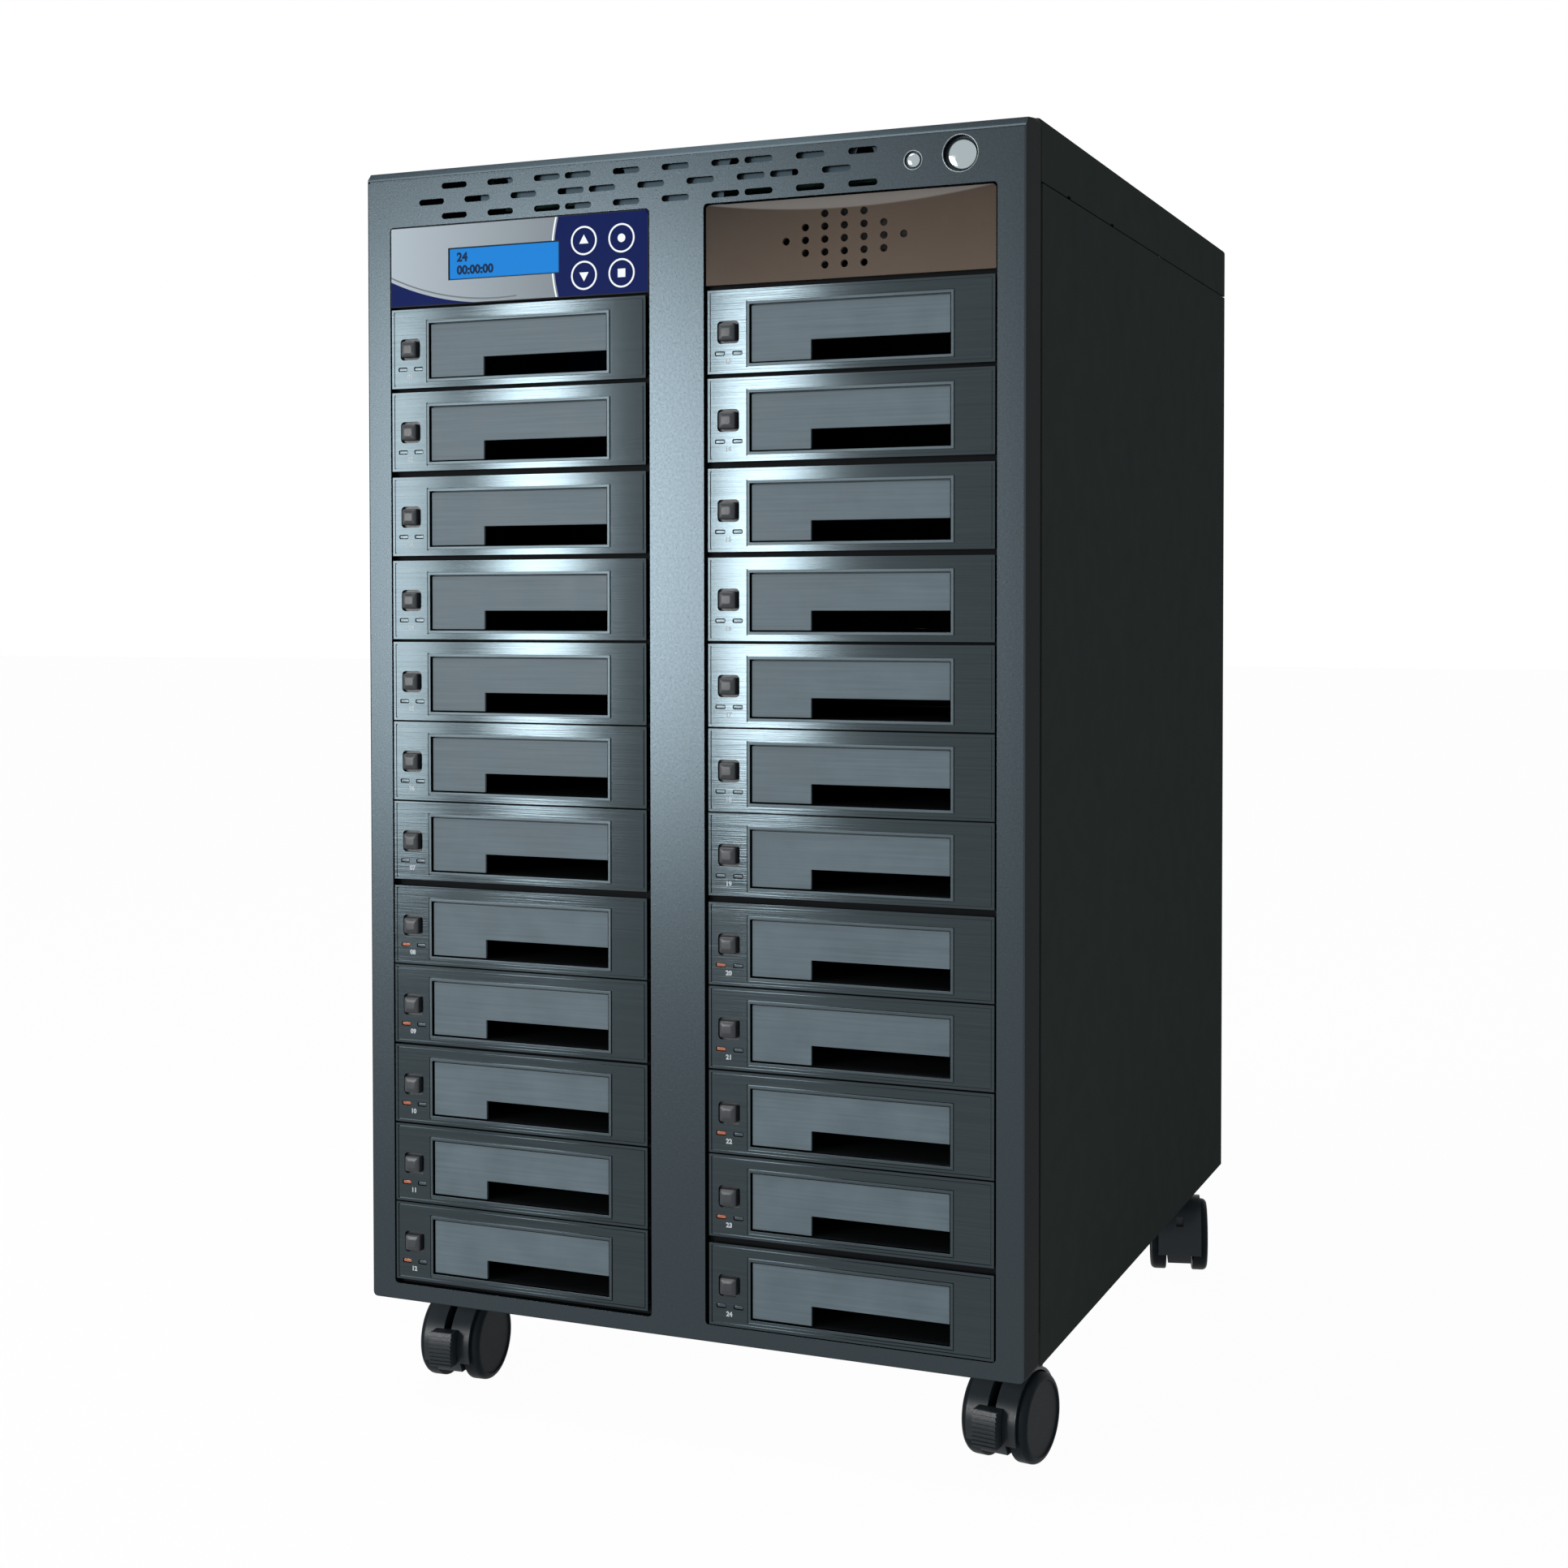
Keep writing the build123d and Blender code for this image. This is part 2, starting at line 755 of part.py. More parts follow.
for side, corners in (("left", left_corners), ("right", right_corners)):
    for number, corner in enumerate(corners, 1):
        place_all(dust_flap, [corner], f"flap_{side}_{number:02d}")

# Control panel: a printed overlay on a folded carrier, with the display behind its window
with BuildPart() as control_panel:
    panel_middle = (-bay_x, panel_bottom + panel_height / 2)
    with BuildSketch(front_plane):
        with Locations(panel_middle):
            Rectangle(fill_width, panel_height)
        with Locations((window_x, window_z)):
            Rectangle(window_width, window_height, mode=Mode.SUBTRACT)
    extrude(amount=-panel_sheet)
    panel_corners = control_panel.edges().filter_by(Axis.Y).group_by(Axis.Z)[-1].sort_by(Axis.X)
    fillet(panel_corners[0], bay_corner_radius)
    panel_corners = control_panel.edges().filter_by(Axis.Y).group_by(Axis.Z)[-1].sort_by(Axis.X)
    fillet(panel_corners[-1], panel_radius)
    with BuildSketch(depth_plane(panel_sheet)):
        with Locations(panel_middle):
            with GridLocations(fill_width - tab_sheet, 0, 2, 1):
                Rectangle(tab_sheet, panel_height - 2 * tab_margin)
    extrude(amount=-tab_depth)
save(control_panel, "control_panel")

with BuildPart() as display:
    with BuildSketch(depth_plane(panel_sheet + seam)):
        with Locations((window_x, window_z)):
            Rectangle(window_width + 2 * display_margin, window_height + 2 * display_margin)
    extrude(amount=-display_depth)
    with BuildSketch(depth_plane(panel_sheet + seam)):
        with Locations((window_x, window_z)):
            Rectangle(window_width - 2 * seam, window_height - 2 * seam)
    extrude(amount=panel_sheet)
save(display, "display")

with BuildPart() as cover_plate:
    plate_middle = (bay_x, plate_bottom + plate_height / 2)
    with BuildSketch(front_plane):
        with Locations(plate_middle):
            Rectangle(fill_width, plate_height)
        for row, holes in enumerate((3, 5, 7, 5, 3)):
            with Locations((sound_x, sound_z + (row - 2) * sound_pitch_z)):
                with GridLocations(sound_pitch_x, 0, holes, 1):
                    RegularPolygon(sound_hole / 2, sound_hole_sides, mode=Mode.SUBTRACT)
    extrude(amount=-plate_sheet)
    fillet(cover_plate.edges().filter_by(Axis.Y).group_by(Axis.Z)[-1], bay_corner_radius)
    with BuildSketch(depth_plane(plate_sheet)):
        with Locations(plate_middle):
            with GridLocations(fill_width - tab_sheet, 0, 2, 1):
                Rectangle(tab_sheet, plate_height - 2 * tab_margin)
    extrude(amount=-tab_depth)
save(cover_plate, "cover_plate")

# Power supply on the base tray, with its mains inlet and rocker switch
with BuildPart() as power_supply:
    psu_back = back_y - sheet - seam
    psu_plane = Plane(origin=(0, psu_back, floor_clearance), x_dir=(-1, 0, 0), z_dir=(0, 1, 0))
    with BuildSketch(psu_plane):
        with Locations((0, psu_middle_z)):
            Rectangle(psu_width, psu_height)
    extrude(amount=-psu_length)
    with BuildSketch(Plane.XY.offset(floor_clearance + tray_sheet)):
        with Locations((0, psu_back - psu_length / 2)):
            foot_pitch_x = psu_width - psu_foot_width
            foot_pitch_y = psu_length - psu_foot_length - 2 * psu_foot_inset
            with GridLocations(foot_pitch_x, foot_pitch_y, 2, 2):
                Rectangle(psu_foot_width, psu_foot_length)
    extrude(amount=psu_rise)
    with BuildSketch(psu_plane):
        with Locations((-psu_slot_x, psu_middle_z)):
            with GridLocations(0, grille_pitch, 1, psu_slots):
                Rectangle(psu_slot_length, grille_slot)
    extrude(amount=-psu_slot_depth, mode=Mode.SUBTRACT)
    with BuildSketch(psu_plane):
        with Locations((-inlet_x, inlet_z)):
            Rectangle(inlet_width, inlet_height)
        with Locations((-rocker_x, inlet_z)):
            Rectangle(rocker_width, rocker_height)
    extrude(amount=-inlet_depth, mode=Mode.SUBTRACT)
    with BuildSketch(Plane.YZ.offset(rocker_x - rocker_width / 2)):
        with Locations((psu_back - rocker_depth / 2, floor_clearance + inlet_z)):
            Circle(pivot_radius)
    extrude(amount=rocker_width)
save(power_supply, "power_supply")

with BuildPart() as mains_inlet:
    with BuildSketch(psu_plane):
        with Locations((-inlet_x, inlet_z)):
            Rectangle(inlet_width - 2 * seam, inlet_height - 2 * seam)
    extrude(amount=-(inlet_depth - seam))
    with BuildSketch(psu_plane):
        with Locations((-inlet_x, inlet_z)):
            Rectangle(inlet_width + 2 * inlet_lip, inlet_height + 2 * inlet_lip)
    extrude(amount=inlet_flange)
    with BuildSketch(psu_plane.offset(inlet_flange)):
        with Locations((-inlet_x, inlet_z)):
            Rectangle(inlet_width - 2 * inlet_wall, inlet_height - 2 * inlet_wall)
    extrude(amount=-(inlet_depth + inlet_flange - 2 * inlet_wall), mode=Mode.SUBTRACT)
    with BuildSketch(psu_plane.offset(-(inlet_depth - 2 * inlet_wall))):
        with Locations(
            (-inlet_x - pin_pitch, inlet_z - pin_shift),
            (-inlet_x, inlet_z + pin_shift),
            (-inlet_x + pin_pitch, inlet_z - pin_shift),
        ):
            Rectangle(pin_width, pin_height)
    extrude(amount=pin_length)
save(mains_inlet, "mains_inlet")

with BuildPart() as mains_switch:
    rocker_half = rocker_height / 2 - rocker_clearance
    rocker_end = rocker_half - rocker_clearance
    rocker_y = psu_back - rocker_depth / 2
    rocker_z = floor_clearance + inlet_z
    with BuildSketch(Plane.YZ.offset(rocker_x - rocker_width / 2 + rocker_clearance)):
        with BuildLine():
            Polyline(
                (rocker_y - rocker_root, rocker_z - rocker_half / 2),
                (rocker_y - rocker_root, rocker_z + rocker_half / 2),
                (psu_back + rocker_proud, rocker_z + rocker_end),
                (psu_back + rocker_proud / 3, rocker_z),
                (psu_back - rocker_sunk, rocker_z - rocker_end),
                close=True,
            )
        make_face()
        with Locations((rocker_y, rocker_z)):
            Circle(pivot_radius + axle_clearance, mode=Mode.SUBTRACT)
    extrude(amount=rocker_width - 2 * rocker_clearance)
save(mains_switch, "mains_switch")

# Fan at the back
fan_back = back_y - sheet - seam
fan_plane = Plane(origin=(0, fan_back, floor_clearance), x_dir=(-1, 0, 0), z_dir=(0, 1, 0))
fan_bore = fan_size / 2 - fan_ring
with BuildPart() as fan_frame:
    with BuildSketch(fan_plane):
        with Locations((0, fan_z)):
            Rectangle(fan_size, fan_size)
            Circle(fan_bore, mode=Mode.SUBTRACT)
    extrude(amount=-fan_depth)
    with BuildSketch(fan_plane.offset(-(fan_depth - fan_clearance))):
        with Locations((0, fan_z)):
            Circle(fan_hub_radius)
            for turn in (45, 135):
                Rectangle(2 * fan_bore + fan_ring, fan_strut, rotation=turn)
    extrude(amount=-fan_clearance)
    with BuildSketch(fan_plane.offset(-(fan_depth - fan_clearance))):
        with Locations((0, fan_z)):
            Circle(fan_shaft_radius)
    extrude(amount=fan_depth - 3 * fan_clearance)
save(fan_frame, "fan_frame")

with BuildPart() as fan_rotor:
    rotor_depth = fan_depth - 2 * fan_clearance - fan_hub_gap
    with BuildSketch(fan_plane.offset(-fan_clearance)):
        with Locations((0, fan_z)):
            Circle(fan_hub_radius)
    extrude(amount=-rotor_depth)
    blade_reach = fan_bore - fan_clearance
    blade_plane = Plane(
        origin=(0, fan_back - fan_clearance - rotor_depth / 2, floor_clearance + fan_z),
        x_dir=(0, 1, 0),
        z_dir=(0, 0, 1),
    )
    blade_root = fan_hub_radius - fan_blade_sheet
    with BuildPart(mode=Mode.PRIVATE) as blade:
        with BuildSketch(blade_plane.offset(blade_root)):
            Rectangle(rotor_depth, fan_blade_sheet, rotation=fan_blade_turn)
        extrude(amount=blade_reach - blade_root)
    fan_axis = Axis((0, 0, floor_clearance + fan_z), (0, 1, 0))
    for index in range(fan_blades):
        add(blade.part.rotate(fan_axis, index * 360 / fan_blades))
    with BuildSketch(fan_plane.offset(-(fan_depth - fan_clearance - fan_hub_gap))):
        with Locations((0, fan_z)):
            Circle(fan_shaft_radius + axle_clearance)
    extrude(amount=fan_depth - 3 * fan_clearance, mode=Mode.SUBTRACT)
save(fan_rotor, "fan_rotor")

# Screws of the back panel, of the power supply and of the fan
with BuildPart() as case_screws:
    with BuildSketch(back_plane):
        with Locations((0, body_height / 2)):
            screw_rise = (body_height - 2 * screw_inset) / (screw_rows - 1)
            with GridLocations(body_width - 2 * screw_inset, screw_rise, 2, screw_rows):
                RegularPolygon(screw_flats / 2, 6, major_radius=False)
        with Locations((0, fan_z)):
            with GridLocations(fan_hole_pitch, fan_hole_pitch, 2, 2):
                RegularPolygon(screw_flats / 2, 6, major_radius=False)
    extrude(amount=screw_head)
save(case_screws, "case_screws")

# Casters: fixed plates with stems, swivelling hoods, wheel pairs and brake pedals.
# Each is drawn facing -Y, with its stem's axis at the origin and the floor at zero.
axle = (-caster_lead, wheel_radius)
caster_places = {
    "front_left": Location((-stem_x, front_y + front_stem_depth, 0), (0, 0, front_left_turn)),
    "front_right": Location((stem_x, front_y + front_stem_depth, 0), (0, 0, front_right_turn)),
    "rear_left": Location((-stem_x, front_y + rear_stem_depth, 0), (0, 0, rear_left_turn)),
    "rear_right": Location((stem_x, front_y + rear_stem_depth, 0), (0, 0, rear_right_turn)),
}
boss_top = floor_clearance - plate_thick - swivel_gap
stem_bottom = boss_top - stem_length
boss_bottom = stem_bottom - boss_floor
slot_width = arm_width + 2 * slot_side_gap
pad_inner = hood_radius + pedal_gap

with BuildPart() as caster_plates:
    with BuildSketch(Plane.XY.offset(floor_clearance - plate_thick)):
        for place in caster_places.values():
            with Locations(place.position):
                Rectangle(plate_side, plate_side)
    extrude(amount=plate_thick)
    with BuildSketch(Plane.XY.offset(stem_bottom)):
        for place in caster_places.values():
            with Locations(place.position):
                Circle(stem_radius)
    extrude(amount=stem_length + swivel_gap)
save(caster_plates, "caster_plates")


def make_hood(braked):
    """Hood over both wheels, with the web between them, the boss and the front slot."""
    hood_bore = wheel_radius + hood_gap
    with BuildPart() as hood:
        with BuildSketch(Plane.YZ.offset(-hood_width / 2)):
            with Locations(axle):
                Circle(hood_radius)
            with Locations((axle[0] - hood_radius, axle[1] + hood_front_end - hood_radius)):
                Rectangle(2 * hood_radius, 2 * hood_radius, mode=Mode.SUBTRACT)
            with Locations((axle[0] + hood_radius, axle[1] + hood_back_end - hood_radius)):
                Rectangle(2 * hood_radius, 2 * hood_radius, mode=Mode.SUBTRACT)
        extrude(amount=hood_width)
        with BuildSketch(Plane.XY.offset(boss_bottom)):
            Circle(boss_radius)
        extrude(amount=boss_top - boss_bottom)
        with BuildSketch(Plane.YZ.offset(-hood_width / 2)):
            with Locations(axle):
                Circle(hood_bore)
        extrude(amount=hood_width, mode=Mode.SUBTRACT)
        with BuildSketch(Plane.YZ.offset(-web_width / 2)):
            with Locations(axle):
                Circle((hood_radius + hood_bore) / 2)
            with Locations((axle[0], axle[1] + web_bottom - hood_radius)):
                Rectangle(4 * hood_radius, 2 * hood_radius, mode=Mode.SUBTRACT)
        extrude(amount=web_width)
        with BuildSketch(Plane.XY.offset(stem_bottom - swivel_gap)):
            Circle(stem_radius + axle_clearance)
        extrude(amount=stem_length + 2 * swivel_gap, mode=Mode.SUBTRACT)
        with BuildSketch(Plane.YZ.offset(-web_width)):
            with Locations(axle):
                Circle(axle_radius + axle_clearance)
        extrude(amount=2 * web_width, mode=Mode.SUBTRACT)
        with BuildSketch(Plane.YZ.offset(-slot_width / 2)):
            slot_low = pedal_bottom - rib_width if braked else pedal_top
            slot_back = pivot_y + eye_radius + eye_gap if braked else -pad_inner + plain_slot_depth
            slot_middle = ((slot_back - 2 * hood_radius) / 2, (slot_low + slot_top) / 2)
            with Locations((axle[0] + slot_middle[0], axle[1] + slot_middle[1])):
                Rectangle(2 * hood_radius + slot_back, slot_top - slot_low)
        extrude(amount=slot_width, mode=Mode.SUBTRACT)
        if braked:
            with BuildSketch(Plane.YZ.offset(-slot_width / 2 - pivot_bite)):
                with Locations((axle[0] + pivot_y, axle[1] + pivot_z)):
                    Circle(pivot_radius)
            extrude(amount=slot_width + 2 * pivot_bite)
    return hood


with BuildPart() as wheel_pair:
    with BuildSketch(Plane.XY.offset(axle[1])):
        for side in (-1, 1):
            with BuildLine():
                Polyline(
                    (side * wheel_inner, axle[0]),
                    (side * wheel_inner, axle[0] + wheel_radius),
                    (side * wheel_tread_end, axle[0] + wheel_radius),
                    (side * wheel_outer, axle[0] + wheel_disc_radius),
                    (side * wheel_outer, axle[0]),
                    close=True,
                )
            make_face()
    revolve(axis=Axis((0, axle[0], axle[1]), (1, 0, 0)))
    with BuildSketch(Plane.YZ.offset(-wheel_inner)):
        with Locations(axle):
            Circle(axle_radius)
    extrude(amount=2 * wheel_inner)

with BuildPart() as brake_pedal:
    pad_outer = pad_inner + pedal_thick
    with BuildSketch(Plane.YZ.offset(-pedal_width / 2)):
        with Locations(axle):
            Circle(pad_outer)
            Circle(pad_inner, mode=Mode.SUBTRACT)
        with Locations((axle[0] - pad_outer, axle[1] + (pedal_bottom + pedal_top) / 2)):
            Rectangle(2 * pad_outer, pedal_top - pedal_bottom, mode=Mode.INTERSECT)
    extrude(amount=pedal_width)
    with BuildSketch(Plane.YZ.offset(-pedal_width / 2)):
        with Locations(axle):
            low_angle = 180 + degrees(asin(-pedal_bottom / pad_outer)) - rib_margin
            high_angle = 180 - degrees(asin(pedal_top / pad_outer)) + rib_margin
            with PolarLocations(
                pad_outer, pedal_ribs, low_angle, high_angle - low_angle, endpoint=True
            ):
                Rectangle(2 * rib_depth, rib_width)
    extrude(amount=pedal_width)
    with BuildSketch(Plane.YZ.offset(-arm_width / 2)):
        arm_length = pad_inner + pivot_y + arm_bite
        with Locations((axle[0] + pivot_y - arm_length / 2, axle[1] + pivot_z)):
            Rectangle(arm_length, arm_height)
        with Locations((axle[0] + pivot_y, axle[1] + pivot_z)):
            Circle(eye_radius)
            Circle(pivot_radius + axle_clearance, mode=Mode.SUBTRACT)
    extrude(amount=arm_width)

braked_hood = make_hood(True)
plain_hood = make_hood(False)
for corner_name, place in caster_places.items():
    braked = corner_name.startswith("front")
    place_all(braked_hood if braked else plain_hood, [place], f"caster_hood_{corner_name}")
    place_all(wheel_pair, [place], f"caster_wheels_{corner_name}")
    if braked:
        place_all(brake_pedal, [place], f"brake_pedal_{corner_name}")
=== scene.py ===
import json
from math import radians

import bpy
from bpy.props import FloatProperty, FloatVectorProperty, IntProperty, PointerProperty
from mathutils import Matrix, Vector


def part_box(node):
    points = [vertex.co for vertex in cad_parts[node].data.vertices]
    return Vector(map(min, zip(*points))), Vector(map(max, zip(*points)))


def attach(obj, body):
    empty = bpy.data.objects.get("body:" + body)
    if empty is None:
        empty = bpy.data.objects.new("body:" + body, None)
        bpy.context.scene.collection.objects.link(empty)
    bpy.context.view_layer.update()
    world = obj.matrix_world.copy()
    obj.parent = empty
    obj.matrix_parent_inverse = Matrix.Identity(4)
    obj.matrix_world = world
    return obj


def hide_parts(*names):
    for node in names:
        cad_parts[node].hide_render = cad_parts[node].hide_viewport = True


bl_info = {
    "name": "Hard drive duplicator",
    "version": (1, 0, 0),
    "blender": (4, 5, 0),
    "location": "View3D > Sidebar > Duplicator",
    "description": "Dresses the packed model of a hard drive duplicator on casters",
    "category": "Object",
}

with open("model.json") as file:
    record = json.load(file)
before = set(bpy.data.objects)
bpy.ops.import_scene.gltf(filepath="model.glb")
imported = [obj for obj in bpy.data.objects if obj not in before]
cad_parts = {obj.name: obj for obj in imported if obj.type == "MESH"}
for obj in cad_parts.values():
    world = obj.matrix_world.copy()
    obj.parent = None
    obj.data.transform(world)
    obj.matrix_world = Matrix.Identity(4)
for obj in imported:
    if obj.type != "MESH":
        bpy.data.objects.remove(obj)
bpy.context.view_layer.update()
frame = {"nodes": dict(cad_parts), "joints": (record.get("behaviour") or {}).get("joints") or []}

MM = 0.001
RACKS = 12
SIDES = ("left", "right")
CORNERS = ("front_left", "front_right", "rear_left", "rear_right")

# How far a cutting tool stands out of what it cuts
OVERRUN = 0.01
# Points closer than this are taken as one
SAME = 1e-6
# Digits: font size over digit height, half the ink's thickness, and boldness over digit height
FONT_SHARE = 1.35
INK = 0.00002
BOLDNESS = 0.06
# How far print stands off what it is printed on
PRINT_LIFT = 0.00003
# Dark ink for print, also used as the painted shade along the control panel film's edge.
DARK_INK_AND_EDGE_SHADE = (0.02, 0.022, 0.025)
WHITE_INK = (0.75, 0.78, 0.8)


def length(name, description, millimetres):
    """A length that the user can change, given in millimetres."""
    return FloatProperty(
        name=name, description=description, default=millimetres * MM, min=0.0, unit="LENGTH", precision=5
    )


def colour(name, description, red, green, blue):
    """A colour that the user can change, as linear red, green and blue."""
    return FloatVectorProperty(
        name=name, description=description, default=(red, green, blue), subtype="COLOR", min=0.0, max=1.0
    )


class RackSizes(bpy.types.PropertyGroup):
    face_width: length("Face width", "Width of a rack's brushed face", 146.4)
    face_height: length("Face height", "Height of a rack's brushed face", 40.6)
    face_sheet: length("Face sheet", "Thickness of the face", 1.5)
    mouth_left: length("Mouth from left", "From the face's left edge to the mouth", 22.3)
    mouth_bottom: length("Mouth from bottom", "From the face's lower edge to the mouth", 4.5)
    mouth_width: length("Mouth width", "Clear width for a drive", 102.7)
    mouth_height: length("Mouth height", "Clear height for a drive", 28.6)
    rim_width: length("Rim width", "Width of the rim round the mouth", 1.4)
    rim_proud: length("Rim proud", "How far the rim stands out of the face", 0.3)
    groove_width: length("Groove width", "Width of the grooves round the rim and the face", 0.45)
    groove_depth: length("Groove depth", "Depth of the grooves", 0.6)
    groove_inset: length("Groove inset", "From the face's edge to its groove", 1.2)
    flap_gap: length("Flap gap", "Gap round the flap in the mouth", 0.4)
    flap_sheet: length("Flap sheet", "Thickness of the flap", 1.6)
    flap_recess: length("Flap recess", "How far the flap sits behind the face", 0.8)
    flap_relief: length("Flap relief", "Extra gap round the flap's front", 0.25)
    notch_width: length("Notch width", "Width of the flap's lower notch", 70.3)
    notch_height: length("Notch height", "Height of the flap's lower notch", 10.2)
    hinge_depth: length("Hinge depth", "From the face to the flap's hinge line", 3.2)
    hinge_rise: length("Hinge rise", "From the mouth's top to the hinge line", 0.7)
    rod_radius: length("Hinge rod radius", "Radius of the rod that the flap hangs from", 0.9)
    pin_reach: length("Pin reach", "How far each end of the rod stands out of the flap", 1.5)
    eject_left: length("Eject hole from left", "From the face's left edge to the eject hole", 5.1)
    eject_bottom: length("Eject hole from bottom", "From the face's lower edge to the eject hole", 14.5)
    eject_width: length("Eject hole width", "Width of the eject button's hole", 11.6)
    eject_height: length("Eject hole height", "Height of the eject button's hole", 11.0)
    eject_gap: length("Eject gap", "Gap round the eject button", 1.35)
    eject_proud: length("Eject proud", "How far the eject button stands out", 3.0)
    lamp_inset: length("Lamp inset", "Gap round a lamp in its window", 0.35)
    lamp_left: length("Lamp from left", "From the face's left edge to the first lamp", 3.8)
    lamp_pitch: length("Lamp pitch", "From one lamp to the next", 9.3)
    lamp_bottom: length("Lamp from bottom", "From the face's lower edge to the lamps", 8.7)
    lamp_width: length("Lamp width", "Width of a lamp", 5.4)
    lamp_height: length("Lamp height", "Height of a lamp", 2.2)
    number_height: length("Number height", "Height of the bay numbers", 2.4)
    first_amber: IntProperty(
        name="First amber rack", description="Racks from here down have an amber lamp",
        default=8, min=1, max=13,
    )


class FrontSizes(bpy.types.PropertyGroup):
    depth: length("Bezel depth", "Depth of the pressed front bezel", 24.2)
    wall: length("Bezel wall", "Thickness of the bezel's sheet", 2.0)
    top_radius: length("Top corner radius", "Radius of the bezel's upper corners", 4.0)
    bottom_radius: length("Bottom corner radius", "Radius of the bezel's lower corners", 2.5)
    crease_drop: length("Crease drop", "From the body's top down to the crease", 8.3)
    ridge_drop: length("Ridge drop", "From the body's top down to the ridge over the crease", 4.2)
    ridge_depth: length("Ridge depth", "How far the ridge stands back from the face", 3.5)
    rear_drop: length("Rear drop", "From the body's top down to the bezel's rear edge", 1.1)
    groove_tall: length("Crease groove", "Height of the groove under the crease", 0.9)
    groove_depth: length("Crease groove depth", "Depth of the groove under the crease", 0.7)
    edge: length("Edge rounding", "Rounding of the bezel's outer edges", 0.9)
    bay_width: length("Bay width", "Width of each tall bay", 149.6)
    bay_height: length("Bay height", "Height of each tall bay", 550.94)
    bay_bottom: length("Bay bottom", "From the body's bottom to the bays", 8.6)
    bay_radius: length("Bay corner radius", "Radius of the bays' corners", 2.0)
    pillar: length("Pillar width", "Width between the bays", 29.4)
    lip_wall: length("Lip wall", "Thickness of the lips behind the bays", 1.5)
    lip_depth: length("Lip depth", "Depth of the lips behind the bays", 8.0)
    vent_length: length("Vent length", "Length of a vent slot", 14.8)
    vent_width: length("Vent width", "Height of a vent slot", 3.1)
    vent_pitch: length("Vent pitch", "From one slot to the next", 26.9)
    vent_short_pitch: length("Short vent pitch", "Pitch in the narrower gaps", 17.6)
    vent_row_pitch: length("Vent row pitch", "From one row of slots to the next", 7.7)
    vent_left: length("First vent", "From the middle to the first slot on the left", 125.7)
    vent_top: length("Vent top row", "From the body's bottom to the upper row", 579.0)
    inner_gap: length("Inner sheet gap", "From the bezel's face to the chassis sheet behind the slots", 3.6)
    inner_left: length("Inner sheet left", "From the middle to the left end of the chassis sheet", 112.0)
    inner_right: length("Inner sheet right", "From the middle to the right end of the chassis sheet", 108.0)
    inner_hole: length("Inner hole radius", "Radius of the holes in the chassis sheet", 4.6)
    inner_pitch: length("Inner hole pitch", "From one hole in the chassis sheet to the next", 33.0)


class PanelSizes(bpy.types.PropertyGroup):
    window_x: length("Window from middle", "From the middle to the display's middle", 97.2)
    window_z: length("Window height", "From the body's bottom to the display's middle", 538.8)
    window_width: length("Window width", "Width of the display window", 63.5)
    window_tall: length("Window tall", "Height of the display window", 15.5)
    key_radius: length("Key radius", "Outer radius of a key's ring", 7.25)
    key_ring: length("Key ring", "Width of a key's ring", 0.9)
    key_left: length("Left keys", "From the middle to the left keys", 51.0)
    key_right: length("Right keys", "From the middle to the right keys", 30.0)
    key_high: length("Upper keys", "From the body's bottom to the upper keys", 545.9)
    key_low: length("Lower keys", "From the body's bottom to the lower keys", 528.6)
    print_thickness: length("Print thickness", "Thickness of the printed marks", 0.08)
    field_left: length("Blue field", "From the film's left edge to the blue field", 96.0)
    field_radius: length("Blue field radius", "Radius of the blue field's curved border", 80.0)
    corner_x: length("Blue corner", "From the film's left edge to the end of the blue corner", 62.0)
    corner_radius: length("Blue corner radius", "Radius of the curve over the blue corner", 150.0)
    film_line: length("Film line", "Width of the thin lines on the film", 0.8)
    # This width also serves the painted shade round the control panel film's edge.
    window_line: length("Window line", "Width of the dark line round the display window", 0.5)
    digit_height: length("Digit height", "Height of the digits on the display", 4.6)
    digit_left: length("Digit left", "From the display's left edge to the digits", 4.5)
    digit_rows: length("Digit rows", "From one row of digits to the next", 6.6)
    plate_recess: length("Plate recess", "How far the cover plate sits behind the bezel's face", 1.0)
    plate_relief: length("Plate relief", "Gap between the cover plate and the bay", 0.5)
    # The sheen is a painted reflection on the cover plate, not a shape.
    painted_sheen_tall: length("Sheen height", "Height of the pale sheen along the cover plate's top", 6.0)
    hole_radius: length("Sound hole radius", "Radius of a hole in the cover plate", 1.8)
    hole_pitch_x: length("Sound hole pitch", "From one hole to the next in a row", 10.0)
    hole_pitch_z: length("Sound row pitch", "From one row of holes to the next", 6.1)
    holes_x: length("Sound holes from middle", "From the middle to the middle hole", 88.0)
    holes_z: length("Sound holes height", "From the body's bottom to the middle hole", 538.5)
    power_x: length("Power button from middle", "From the middle to the power button", 146.3)
    power_z: length("Power button height", "From the body's bottom to the power button", 573.8)
    power_recess: length("Power recess radius", "Radius of the power button's recess", 9.0)
    power_radius: length("Power button radius", "Radius of the power button", 7.4)
    reset_x: length("Small button from middle", "From the middle to the small button", 123.0)
    reset_z: length("Small button height", "From the body's bottom to the small button", 572.3)
    reset_recess: length("Small recess radius", "Radius of the small button's recess", 4.75)
    reset_radius: length("Small button radius", "Radius of the small button", 3.4)
    collar: length("Collar depth", "Depth of the buttons' collars", 10.0)
    collar_wall: length("Collar wall", "Thickness of the buttons' collars", 2.0)


class CasterSizes(bpy.types.PropertyGroup):
    wheel_radius: length("Wheel radius", "Radius of a wheel", 22.0)
    wheel_inner: length("Wheel inner face", "From the middle to a wheel's inner face", 8.0)
    wheel_outer: length("Wheel outer face", "From the middle to a wheel's outer face", 17.5)
    disc_radius: length("Disc radius", "Radius of the wheel's outer disc", 18.9)
    lead: length("Caster lead", "From the stem to the axle", 15.0)


